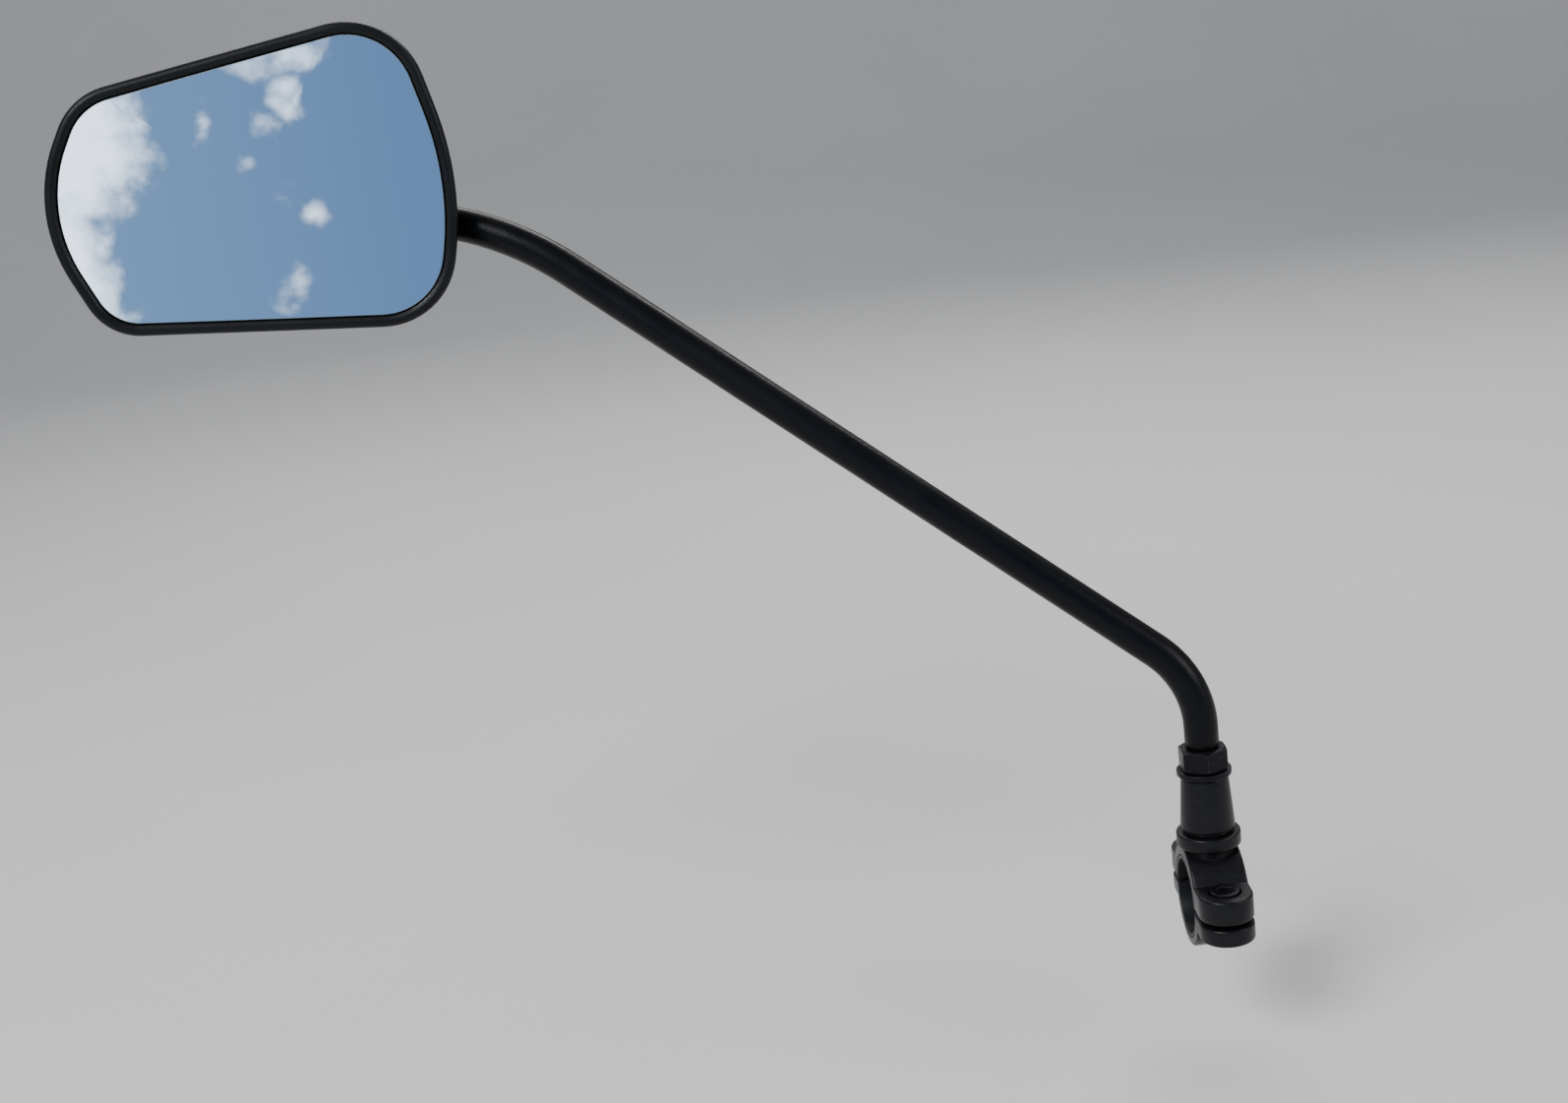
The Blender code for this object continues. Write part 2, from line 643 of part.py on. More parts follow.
def outline(inset=0.0):
    """The head's outline seen from the front, as (x, z) about the ball, set in by inset all round.

    Where two round corners would meet on their side, both are made smaller in proportion.
    """
    right = BALL_INSET
    base = -BALL_HEIGHT
    corners = [Vector((right - fx * HEAD_WIDTH, base + fz * HEAD_HEIGHT)) for fx, fz, _ in OUTLINE]
    sides = [corners[i] - corners[i - 1] for i in range(len(corners))]
    halves = [(-side).angle(ahead) / 2 for side, ahead in zip(sides, sides[1:] + sides[:1])]
    cuts = [radius / math.tan(half) for (_, _, radius), half in zip(OUTLINE, halves)]
    room = [CORNER_SHARE * sides[i].length / (cuts[i] + cuts[i - 1]) for i in range(len(corners))]
    points = []
    for i, corner in enumerate(corners):
        back, ahead = -sides[i].normalized(), sides[(i + 1) % len(corners)].normalized()
        cut = cuts[i] * min(1.0, room[i], room[(i + 1) % len(corners)])
        bend_radius = cut * math.tan(halves[i])
        centre = corner + (back + ahead).normalized() * bend_radius / math.sin(halves[i])
        start = (corner + back * cut - centre).normalized()
        sweep = -(math.pi - 2 * halves[i])
        for k in range(CORNER_STEPS + 1):
            spoke = start.copy()
            spoke.rotate(Matrix.Rotation(sweep * k / CORNER_STEPS, 2))
            points.append(centre + spoke * (bend_radius - inset))
    return points


def head_middle():
    return Vector((BALL_INSET - HEAD_WIDTH / 2, HEAD_HEIGHT / 2 - BALL_HEIGHT))


def crown(point):
    """How far a convex sheet lies behind its own middle at a point of the head."""
    return (point - head_middle()).length_squared / (2 * GLASS_CURVE)


def head_point(point, depth):
    """A point of the head's frame from its (x, z) and its depth behind the rim's crest."""
    return Vector((point[0], depth - BALL_DEPTH, point[1]))


def flat_ring(inset, depth):
    return [head_point(p, depth) for p in outline(inset)]


def curved_rings(inset, depth, shrinks):
    """Rings of a convex sheet: its edge shrunk about the head's middle, down to the middle itself."""
    middle = head_middle()
    rings = []
    for shrink in shrinks:
        points = [middle + (p - middle) * shrink for p in outline(inset)]
        rings.append([head_point(p, depth + crown(p)) for p in points])
    rings.append([head_point(middle, depth)])
    return rings


def curved_sheet(inset, depth, thickness):
    """A solid of a convex sheet of even thickness: the glass, or the adhesive behind it."""
    front = curved_rings(inset, depth, SHEET_RINGS)
    back = curved_rings(inset, depth + thickness, SHEET_RINGS)
    return skinned(front[::-1] + back)


def glass_inset():
    return RIM_WIDTH + GLASS_GAP


def sheet_front():
    return GLASS_SUNK + GLASS_THICKNESS + SEAT_GAP


def plate_front():
    return sheet_front() + SHEET_THICKNESS + SEAT_GAP


def mirror_glass(parent):
    """Convex silvered glass."""
    shape = curved_sheet(glass_inset(), GLASS_SUNK, GLASS_THICKNESS)
    return new_object("mirror_glass", shape, mirror_silver(), parent)


def adhesive_sheet(parent):
    """Butyl adhesive sheet that bonds the glass to the rim's plate."""
    shape = curved_sheet(glass_inset() + SHEET_INSET, sheet_front(), SHEET_THICKNESS)
    return new_object("adhesive_sheet", shape, butyl(), parent)


def rim(parent):
    """Front moulding: a round-edged rim with the plate behind the glass in one piece."""
    front = curved_rings(RIM_WIDTH, plate_front(), PLATE_RINGS)
    back = curved_rings(RIM_WIDTH, plate_front() + PLATE_THICKNESS, PLATE_RINGS)
    edge = [flat_ring(RIM_WIDTH * share, RIM_DEPTH * drop) for share, drop in RIM_BEAD]
    edge += [flat_ring(RIM_DRAFT, RIM_DEPTH), flat_ring(RIM_DRAFT + SHELL_WALL, RIM_DEPTH)]
    return new_object("rim", skinned(front[::-1] + edge + back), black_plastic(), parent)


def shell_rings(inset, depth, height):
    """Rings of the domed back, from its seam to its middle."""
    middle = head_middle()
    edge = outline(inset)
    rings = []
    for degrees in DOME_CLIMBS:
        rise = math.radians(degrees)
        shrink = math.sqrt(math.cos(rise))
        points = [middle + (p - middle) * shrink for p in edge]
        rings.append([head_point(p, depth + height * math.sin(rise)) for p in points])
    rings.append([head_point(middle, depth + height)])
    return rings


def cover_plan(centre_radius, lug_radius):
    """Plan of the cup's cover and its pad: one hull round the cup and the three lugs, as (x, z)."""
    circles = [((0.0, 0.0), centre_radius)]
    circles += [(place, lug_radius) for place in cover_screw_places()]
    points = []
    for i in range(HULL_SIDES):
        turn = 2 * math.pi * i / HULL_SIDES
        way = (math.cos(turn), math.sin(turn))
        reach = max(c[0] * way[0] + c[1] * way[1] + r for c, r in circles)
        points.append((turn, reach))
    return points


def cover_prism(centre_radius, lug_radius, front, back):
    """A block of that hull's outline between two depths. Its corners are where neighbouring sides meet."""
    sides = cover_plan(centre_radius, lug_radius)
    corners = []
    for (a, ra), (b, rb) in zip(sides, sides[1:] + sides[:1]):
        spread = math.sin(b - a)
        x = (ra * math.sin(b) - rb * math.sin(a)) / spread
        z = (rb * math.cos(a) - ra * math.cos(b)) / spread
        corners.append((x, z))
    shape = skinned([[head_point(p, d) for p in corners] for d in (front, back)])
    bmesh.ops.remove_doubles(shape, verts=shape.verts, dist=MERGE_DISTANCE)
    return shape


def cover_screw_places():
    turns = [math.radians(a) for a in COVER_SCREW_ANGLES]
    return [(COVER_SCREW_CIRCLE * math.cos(a), COVER_SCREW_CIRCLE * math.sin(a)) for a in turns]


def depth_cylinder(place, radius, front, back, steps=SMALL_STEPS):
    """A cylinder through the head's depth."""
    points = [(place[0] + x, place[1] + z) for x, z in arc((0, 0), radius, 0, 2 * math.pi, steps)[:-1]]
    return skinned([[head_point(p, d) for p in points] for d in (front, back)])


def cup_mouth(neck):
    """The opening that the neck swings in: a cone, and a flat across the cup's lip."""
    base = NECK_RADIUS / math.cos(BALL_SWING) + FIT_GAP
    spread = math.tan(BALL_SWING)
    cone = placed(mouth(0, 3 * CUP_OUTER, base, spread), z_axis_to(neck))
    wide = CUP_OUTER + FIT_GAP
    lip = [(0, CUP_LIP), (wide, CUP_LIP), (wide, CUP_LIP + CUP_OUTER), (0, CUP_LIP + CUP_OUTER)]
    return cone, placed(turned(lip), z_axis_to(neck))


def back_shell(neck, parent):
    """Domed back with the front half of the ball's cup, in a block that the cover screws on."""
    seam = RIM_DEPTH + SHELL_SEAM
    split = BALL_DEPTH - SEAT_GAP / 2
    outer = shell_rings(RIM_DRAFT, seam, SHELL_DOME)
    inner = shell_rings(RIM_DRAFT + SHELL_WALL, seam, SHELL_DOME - SHELL_WALL)
    body = new_object("back_shell", skinned(inner[::-1] + outer), black_plastic(), parent)
    foot = seam + BLOCK_ROOM
    block = new_object("cup_block", cover_prism(CUP_OUTER, COVER_LUG, foot, split + SLACK), parent=parent)
    edge = skinned([flat_ring(RIM_DRAFT, d) for d in (foot - SLACK, split + 2 * SLACK)])
    boolean(block, "INTERSECT", new_object("block_edge", edge, parent=parent))
    boolean(body, "UNION", block)
    wide = 3 * CUP_OUTER
    square = [(-wide, -wide), (wide, -wide), (wide, wide), (-wide, wide)]
    slab = skinned([[head_point(p, d) for p in square] for d in (split, split + 2 * CUP_OUTER)])
    boolean(body, "DIFFERENCE", new_object("cover_side", slab, parent=parent))
    boolean(body, "DIFFERENCE", new_object("front_cavity", sphere(CUP_RADIUS), parent=parent))
    cone, lip = cup_mouth(neck)
    boolean(body, "DIFFERENCE", new_object("front_mouth", cone, parent=parent))
    boolean(body, "DIFFERENCE", new_object("front_lip", lip, parent=parent))
    for i, place in enumerate(cover_screw_places(), 1):
        floor = cover_outer_depth() - COVER_SCREW_LENGTH - 2 * SEAT_GAP
        hole = depth_cylinder(place, COVER_SCREW_RADIUS + FIT_GAP, floor, split + SLACK)
        boolean(body, "DIFFERENCE", new_object(f"screw_hole_{i}", hole, parent=parent))
    return body


def cover_outer_depth():
    return BALL_DEPTH + SEAT_GAP / 2 + COVER_PLATE


def cup_cover(neck, parent):
    """Rear half of the ball's cup, screwed on over the ball."""
    inner = BALL_DEPTH + SEAT_GAP / 2
    plate = cover_prism(CUP_OUTER, COVER_LUG, inner, cover_outer_depth())
    body = new_object("cup_cover", plate, black_plastic(), parent)
    wide = 2 * CUP_OUTER
    square = [(-wide, -wide), (wide, -wide), (wide, wide), (-wide, wide)]
    dome = new_object("cover_dome", sphere(CUP_OUTER), parent=parent)
    slab = skinned([[head_point(p, d) for p in square] for d in (inner, inner + wide)])
    boolean(dome, "INTERSECT", new_object("cover_dome_side", slab, parent=parent))
    boolean(body, "UNION", dome)
    boolean(body, "DIFFERENCE", new_object("rear_cavity", sphere(CUP_RADIUS), parent=parent))
    cone, lip = cup_mouth(neck)
    boolean(body, "DIFFERENCE", new_object("rear_mouth", cone, parent=parent))
    boolean(body, "DIFFERENCE", new_object("rear_lip", lip, parent=parent))
    for i, place in enumerate(cover_screw_places(), 1):
        hole = depth_cylinder(place, COVER_SCREW_RADIUS + FIT_GAP, inner - SLACK, cover_outer_depth() + SLACK)
        boolean(body, "DIFFERENCE", new_object(f"cover_hole_{i}", hole, parent=parent))
    return body


def cover_screws(parent):
    """Three small screws from behind, through the cover into the shell's block."""
    for i, place in enumerate(cover_screw_places(), 1):
        body = socket_screw(
            f"cover_screw_{i}",
            COVER_SCREW_RADIUS,
            COVER_SCREW_LENGTH,
            COVER_HEAD_RADIUS,
            COVER_HEAD_HEIGHT,
            COVER_SOCKET,
            COVER_SOCKET_DEPTH,
            bright_steel(),
        )
        body.parent = parent
        body.location = head_point(place, cover_outer_depth() + SEAT_GAP)
        body.rotation_euler = (-math.pi / 2, 0, 0)


def head_turn():
    """The head's own axes: X to the right of its glass, Y to its back, Z up it."""
    return (
        Matrix.Rotation(HEAD_YAW, 3, "Z")
        @ Matrix.Rotation(HEAD_PITCH, 3, "X")
        @ Matrix.Rotation(HEAD_ROLL, 3, "Y")
    )


def main():
    clear_scene()
    rod_pivot = new_pivot("rod_pivot", Vector((0, 0, BOSS_TOP)))
    rod_frame = new_pivot("rod_frame", Vector((0, 0, -BOSS_TOP)), parent=rod_pivot)
    cap_pivot = new_pivot("cap_pivot", Vector((0, 0, 0)))
    neck = neck_direction()
    ball_turn = neck.to_track_quat("Z", "Y").to_matrix()
    ball_pivot = new_pivot("ball_pivot", ball_centre(), ball_turn, parent=rod_frame)
    head_pivot = new_pivot("head_pivot", ball_centre(), head_turn(), parent=rod_frame)
    neck_in_head = head_turn().inverted() @ neck

    clamp_upper()
    shim("shim_upper", upside_down=False)
    clamp_screws()
    boss_washer()
    mirror_boss()
    rod_washer()
    clamp_lower(cap_pivot)
    shim("shim_lower", upside_down=True, parent=cap_pivot)
    lock_nut(rod_frame)
    mirror_rod(rod_frame)
    ball(ball_pivot)
    ball_liner("liner_front", False, neck_in_head, head_pivot)
    ball_liner("liner_rear", True, neck_in_head, head_pivot)
    mirror_glass(head_pivot)
    adhesive_sheet(head_pivot)
    rim(head_pivot)
    back_shell(neck_in_head, head_pivot)
    cup_cover(neck_in_head, head_pivot)
    cover_screws(head_pivot)


main()
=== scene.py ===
"""Looks of a left-hand handlebar mirror: a clamp, a bent rod and a ball-jointed head with convex glass."""

import json
import math

import bmesh
import bpy
from mathutils import Matrix, Vector


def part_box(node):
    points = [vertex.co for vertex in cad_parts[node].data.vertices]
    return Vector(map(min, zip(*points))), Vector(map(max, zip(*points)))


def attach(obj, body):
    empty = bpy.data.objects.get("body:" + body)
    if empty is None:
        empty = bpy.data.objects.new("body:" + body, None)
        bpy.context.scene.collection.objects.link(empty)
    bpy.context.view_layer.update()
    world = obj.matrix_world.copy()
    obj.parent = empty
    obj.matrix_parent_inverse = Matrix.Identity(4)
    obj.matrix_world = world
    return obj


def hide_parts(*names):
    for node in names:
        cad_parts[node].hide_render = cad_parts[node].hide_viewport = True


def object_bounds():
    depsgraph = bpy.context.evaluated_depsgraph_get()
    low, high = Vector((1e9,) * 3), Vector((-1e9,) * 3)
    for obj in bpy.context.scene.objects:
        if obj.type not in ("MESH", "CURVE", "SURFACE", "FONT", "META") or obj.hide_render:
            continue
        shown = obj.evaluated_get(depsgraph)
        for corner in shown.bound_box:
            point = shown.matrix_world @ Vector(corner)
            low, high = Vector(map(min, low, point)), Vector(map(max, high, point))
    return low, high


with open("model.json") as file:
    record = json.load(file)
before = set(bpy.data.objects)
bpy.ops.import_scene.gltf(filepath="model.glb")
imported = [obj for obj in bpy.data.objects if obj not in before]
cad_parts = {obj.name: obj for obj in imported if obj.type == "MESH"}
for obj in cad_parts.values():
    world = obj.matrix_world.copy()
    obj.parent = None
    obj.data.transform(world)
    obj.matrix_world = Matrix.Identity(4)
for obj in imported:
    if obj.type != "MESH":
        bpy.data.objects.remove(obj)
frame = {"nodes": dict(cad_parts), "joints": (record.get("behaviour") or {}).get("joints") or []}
cad_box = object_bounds()


# Camera.
view_distance = 0.640
view_dip = math.radians(15)
view_tilt = math.radians(-7)
view_width = math.radians(40)
aim_point = Vector((-0.1141, 0.0300, 0.1121))
camera = bpy.data.objects.new("camera", bpy.data.cameras.new("camera"))
bpy.context.scene.collection.objects.link(camera)
bpy.context.scene.camera = camera
camera.data.angle = view_width
line_of_sight = Vector((0, math.cos(view_dip), -math.sin(view_dip)))
camera.matrix_world = (
    Matrix.Translation(aim_point - line_of_sight * view_distance)
    @ Matrix.Rotation(math.pi / 2 - view_dip, 4, "X")
    @ Matrix.Rotation(view_tilt, 4, "Z")
)


# Floor. One pale sheet of studio card that lies under the mirror and sweeps up behind it in a wide curve,
# so that no edge shows. Its paper has a faint tooth and faint cloudiness.
floor_drop = 0.030
floor_width = 9.0
floor_near, floor_far = -4.0, 1.6
sweep_radius = 0.9
sweep_steps = 24
backdrop_height = 1.6


def new_material(name, colour, roughness, metallic=0.0):
    """A Principled material, returned with its node tree and its shader."""
    made = bpy.data.materials.new(name)
    made.use_nodes = True
    shader = made.node_tree.nodes["Principled BSDF"]
    shader.inputs["Base Color"].default_value = (*colour, 1.0)
    shader.inputs["Roughness"].default_value = roughness
    shader.inputs["Metallic"].default_value = metallic
    return made, made.node_tree, shader


def add_node(tree, kind, **settings):
    """Adds a node to a material, with its settings."""
    made = tree.nodes.new(kind)
    for name, value in settings.items():
        setattr(made, name, value)
    return made


def noise_on(tree, scale, detail=3.0, stretch=(1.0, 1.0, 1.0)):
    """Noise at a scale per metre on the piece's own coordinates. Returns its value, from 0 to 1."""
    place = add_node(tree, "ShaderNodeTexCoord")
    mapping = add_node(tree, "ShaderNodeMapping")
    mapping.inputs["Scale"].default_value = stretch
    noise = add_node(tree, "ShaderNodeTexNoise")
    noise.inputs["Scale"].default_value = scale
    noise.inputs["Detail"].default_value = detail
    tree.links.new(place.outputs["Object"], mapping.inputs["Vector"])
    tree.links.new(mapping.outputs["Vector"], noise.inputs["Vector"])
    return noise.outputs["Fac"]


def spread(tree, value, low, high, start=0.3, end=0.7, smooth=False):
    """Maps a noise value between start and end onto low and high."""
    ranged = add_node(tree, "ShaderNodeMapRange")
    if smooth:
        ranged.interpolation_type = "SMOOTHSTEP"
    for name, number in (("From Min", start), ("From Max", end), ("To Min", low), ("To Max", high)):
        ranged.inputs[name].default_value = number
    tree.links.new(value, ranged.inputs["Value"])
    return ranged.outputs["Result"]


def mix_colours(tree, share, first, second):
    """Blends two colours, or a socket and a colour, by a share from 0 to 1."""
    mix = add_node(tree, "ShaderNodeMix", data_type="RGBA")
    tree.links.new(share, mix.inputs["Factor"])
    for socket, colour in ((mix.inputs[6], first), (mix.inputs[7], second)):
        if isinstance(colour, tuple):
            socket.default_value = (*colour, 1.0)
        else:
            tree.links.new(colour, socket)
    return mix.outputs[2]


def bump_with(tree, shader, heights, depth):
    """Raises the surface by each height in turn. Depth is in metres, one for each height."""
    normal = None
    for height, far in zip(heights, depth):
        bump = add_node(tree, "ShaderNodeBump")
        bump.inputs["Distance"].default_value = far
        bump.inputs["Strength"].default_value = 1.0
        tree.links.new(height, bump.inputs["Height"])
        if normal:
            tree.links.new(normal, bump.inputs["Normal"])
        normal = bump.outputs["Normal"]
    tree.links.new(normal, shader.inputs["Normal"])


card, tree, shader = new_material("studio_card", (0.62, 0.62, 0.62), 0.9)
shade = spread(tree, noise_on(tree, 2.5), 0.0, 1.0)
tint = mix_colours(tree, shade, (0.60, 0.60, 0.60), (0.64, 0.64, 0.64))
tree.links.new(tint, shader.inputs["Base Color"])
bump_with(tree, shader, [noise_on(tree, 900.0)], [0.0001])

floor_height = cad_box[0][2] - floor_drop
bpy.ops.object.select_all(action="DESELECT")
bpy.ops.mesh.primitive_plane_add(size=1.0)
floor = bpy.context.object
floor.name = "floor"
floor.scale = (floor_width, floor_far - floor_near, 1.0)
floor.location = (0, (floor_far + floor_near) / 2, floor_height)
bpy.ops.object.transform_apply(location=True, rotation=True, scale=True)
bpy.ops.object.mode_set(mode="EDIT")
bpy.ops.mesh.select_all(action="DESELECT")
sheet = bmesh.from_edit_mesh(floor.data)
for edge in sheet.edges:
    edge.select_set(all(v.co.y > 0 for v in edge.verts))
bmesh.update_edit_mesh(floor.data)
bpy.ops.mesh.spin(
    steps=sweep_steps,
    angle=-math.pi / 2,
    center=(0, floor_far, floor_height + sweep_radius),
    axis=(1, 0, 0),
)
bpy.ops.mesh.extrude_edges_move(TRANSFORM_OT_translate={"value": (0, 0, backdrop_height)})
bpy.ops.object.mode_set(mode="OBJECT")
bpy.ops.object.shade_smooth_by_angle(angle=math.radians(30))
floor.data.materials.append(card)


# Studio light. Broad soft boxes: one high to the left, a weaker one to the right, and a strip above and
# behind, under a plain grey room.
def soft_box(name, place, target, width, height, power):
    """A soft box that points from its place to a target, in watts."""
    lamp = bpy.data.lights.new(name, "AREA")
    lamp.shape = "RECTANGLE"
    lamp.size, lamp.size_y = width, height
    lamp.energy = power
    box = bpy.data.objects.new(name, lamp)
    bpy.context.scene.collection.objects.link(box)
    aim = Vector(target) - Vector(place)
    box.matrix_world = Matrix.Translation(place) @ aim.to_track_quat("-Z", "Y").to_matrix().to_4x4()


soft_box("key_light", (-0.95, -0.85, 1.25), (-0.12, 0.03, 0.12), 0.7, 0.7, 27.0)
soft_box("fill_light", (1.10, -0.55, 0.65), (-0.05, 0.03, 0.12), 0.6, 0.6, 7.0)
soft_box("back_light", (0.15, 0.95, 1.05), (-0.12, 0.03, 0.14), 1.2, 0.35, 11.0)
room = bpy.data.worlds.new("room")
bpy.context.scene.world = room
room.use_nodes = True
walls = room.node_tree.nodes["Background"]
walls.inputs["Color"].default_value = (0.90, 0.94, 1.0, 1.0)
walls.inputs["Strength"].default_value = 0.32


# Sky card. A painted panel of summer sky behind the camera, for the glass to reflect. Only reflections
# see it. Each cloud is its place across and up, its half width and half height, all in metres, and its
# thickness. Noise drags the clouds out of round and makes their edges billow.
card_distance = 1.5
card_size = (2.4, 1.9)
card_middle = (-0.25, 0.30)
sky_left, sky_right = (0.225, 0.400, 0.700), (0.150, 0.280, 0.555)
cloud_white = (2.20, 2.50, 2.90)
drift_scale, billow_scale = 7.0, 24.0
drift_reach = (0.10, 0.0, 0.09)
billow_depth = 0.8
clouds = (
    (-0.545, 0.360, 0.235, 0.230, 1.35),
    (-0.440, 0.300, 0.085, 0.120, 0.95),
    (-0.520, 0.150, 0.105, 0.170, 1.05),
    (-0.480, 0.040, 0.100, 0.095, 0.62),
    (-0.130, 0.465, 0.120, 0.065, 0.70),
    (-0.137, 0.390, 0.045, 0.075, 0.78),
    (-0.170, 0.340, 0.050, 0.060, 0.52),
    (-0.262, 0.345, 0.030, 0.090, 0.50),
    (-0.205, 0.268, 0.040, 0.045, 0.48),
    (-0.150, 0.215, 0.050, 0.050, 0.44),
    (-0.118, 0.186, 0.045, 0.036, 0.66),
    (-0.175, 0.068, 0.048, 0.080, 0.60),
)
bpy.ops.object.select_all(action="DESELECT")
bpy.ops.mesh.primitive_plane_add(size=1.0)
sky = bpy.context.object
sky.name = "sky_card"
sky.scale = (*card_size, 1.0)
sky.rotation_euler = (-math.pi / 2, 0, 0)
sky.location = (card_middle[0], -card_distance, card_middle[1])
bpy.ops.object.transform_apply(location=True, rotation=True, scale=True)
for kind in ("camera", "diffuse", "shadow", "transmission", "volume_scatter"):
    setattr(sky, "visible_" + kind, False)
painted = bpy.data.materials.new("painted_sky")
painted.use_nodes = True
tree = painted.node_tree
tree.nodes.clear()
place = add_node(tree, "ShaderNodeTexCoord")
drift = add_node(tree, "ShaderNodeTexNoise")
drift.inputs["Scale"].default_value = drift_scale
drift.inputs["Detail"].default_value = 8.0
tree.links.new(place.outputs["Object"], drift.inputs["Vector"])
centred = add_node(tree, "ShaderNodeVectorMath", operation="SUBTRACT")
centred.inputs[1].default_value = (0.5, 0.5, 0.5)
tree.links.new(drift.outputs["Color"], centred.inputs[0])
warped = add_node(tree, "ShaderNodeVectorMath", operation="MULTIPLY_ADD")
warped.inputs[1].default_value = drift_reach
tree.links.new(centred.outputs[0], warped.inputs[0])
tree.links.new(place.outputs["Object"], warped.inputs[2])


def combined(tree, operation, first, second):
    """One Math node on two values, either of which may be a plain number."""
    made = add_node(tree, "ShaderNodeMath", operation=operation)
    for socket, value in zip(made.inputs, (first, second)):
        if isinstance(value, float):
            socket.default_value = value
        else:
            tree.links.new(value, socket)
    return made.outputs[0]


density = 0.0
for across, height, half_width, half_height, strength in clouds:
    mapping = add_node(tree, "ShaderNodeMapping")
    mapping.inputs["Scale"].default_value = (1 / half_width, 0.0, 1 / half_height)
    mapping.inputs["Location"].default_value = (-across / half_width, 0.0, -height / half_height)
    puff = add_node(tree, "ShaderNodeTexGradient", gradient_type="SPHERICAL")
    tree.links.new(warped.outputs[0], mapping.inputs["Vector"])
    tree.links.new(mapping.outputs["Vector"], puff.inputs["Vector"])
    rounded = combined(tree, "POWER", puff.outputs["Fac"], 0.6)
    density = combined(tree, "MAXIMUM", density, combined(tree, "MULTIPLY", rounded, strength))
uneven = combined(tree, "SUBTRACT", noise_on(tree, billow_scale, 8.0), 0.5)
billows = combined(tree, "MULTIPLY", uneven, billow_depth)
cover = spread(tree, combined(tree, "ADD", density, billows), 0.0, 1.0, 0.32, 1.02, smooth=True)
split = add_node(tree, "ShaderNodeSeparateXYZ")
tree.links.new(place.outputs["Object"], split.inputs[0])
to_right = spread(tree, split.outputs["X"], 0.0, 1.0, -0.55, 0.15)
blue = mix_colours(tree, to_right, sky_left, sky_right)
glow = add_node(tree, "ShaderNodeEmission")
tree.links.new(mix_colours(tree, cover, blue, cloud_white), glow.inputs["Color"])
out = add_node(tree, "ShaderNodeOutputMaterial")
tree.links.new(glow.outputs[0], out.inputs["Surface"])
sky.data.materials.append(painted)


# Rod. One 10 mm steel bar, bent twice and powder coated satin black. Its foot is threaded into the boss,
# and its upper end is turned down to a neck and a pin that the joint's ball is pressed on.
joint = {made["name"]: made for made in frame["joints"]}
ball_centre = Vector(joint["head_tilt"]["pos_m"])
neck_axis = Vector(joint["head_tilt"]["axis"])
rod_radius = 0.0050
thread_radius = 0.0040
fit_gap = 0.0003
rod_edge = 0.0006
shoulder_rise = 0.3 * rod_edge
rod_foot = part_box("mirror_rod")[0].z
nut_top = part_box("lock_nut")[1].z
shank_base = nut_top + fit_gap
corner_height = 0.0676
climb = math.radians(37.75)
lower_bend, upper_bend = 0.030, 0.095
neck_radius, pin_radius = 0.0033, 0.0025
taper_start, neck_end, neck_start = 0.0090, 0.0072, 0.0052
pin_length, pin_point = 0.0076, 0.85
rod_sides, lower_bend_steps, upper_bend_steps, taper_steps = 40, 22, 16, 6
doubled = 1e-6


def selected_middle():
    """The middle of the selected points."""
    mesh = bmesh.from_edit_mesh(bpy.context.object.data)
    points = [v.co.copy() for v in mesh.verts if v.select]
    return sum(points, Vector()) / len(points)


def lengthen(step, widen=1.0):
    """Extrudes the selected end by a step, and widens or narrows the new end about its own middle."""
    bpy.ops.mesh.extrude_region_move(TRANSFORM_OT_translate={"value": step})
    if widen != 1.0:
        bpy.ops.transform.resize(value=(widen,) * 3, center_override=selected_middle())


def close_mesh():
    """Leaves edit mode with doubled points merged and every face pointing outwards."""
    bpy.ops.mesh.select_all(action="SELECT")
    bpy.ops.mesh.remove_doubles(threshold=doubled)
    bpy.ops.mesh.normals_make_consistent(inside=False)
    bpy.ops.object.mode_set(mode="OBJECT")


def activate(piece):
    """Selects one piece alone."""
    bpy.ops.object.select_all(action="DESELECT")
    piece.select_set(True)
    bpy.context.view_layer.objects.active = piece


def smooth_between_edges(piece, sharper_than):
    """Shades a piece smooth, except across edges that are sharper than an angle."""
    activate(piece)
    bpy.ops.object.shade_smooth_by_angle(angle=math.radians(sharper_than))


def apply_modifier(piece, kind, **settings):
    """Adds a modifier to a piece and applies it."""
    activate(piece)
    made = piece.modifiers.new(kind.lower(), kind)
    for name, value in settings.items():
        setattr(made, name, value)
    bpy.ops.object.modifier_apply(modifier=made.name)


def round_edges(piece, width, segments=3, sharper_than=35):
    """Rounds every edge that is sharper than an angle, and shades the piece smooth between edges."""
    apply_modifier(
        piece,
        "BEVEL",
        width=width,
        segments=segments,
        limit_method="ANGLE",
        angle_limit=math.radians(sharper_than),
        use_clamp_overlap=True,
    )
    smooth_between_edges(piece, 40)


powder, tree, shader = new_material("satin_powder_coat", (0.003, 0.003, 0.004), 0.32)
shader.inputs["Specular IOR Level"].default_value = 0.14
peel = noise_on(tree, 900.0, 2.0)
fine = noise_on(tree, 3500.0, 2.0)
cloudy = noise_on(tree, 60.0, 4.0)
tree.links.new(spread(tree, cloudy, 0.26, 0.42), shader.inputs["Roughness"])
tint = mix_colours(tree, spread(tree, fine, 0.0, 1.0), (0.0020, 0.0022, 0.0030), (0.0036, 0.0038, 0.0050))
tree.links.new(tint, shader.inputs["Base Color"])
bump_with(tree, shader, [peel, fine], [0.00006, 0.00001])

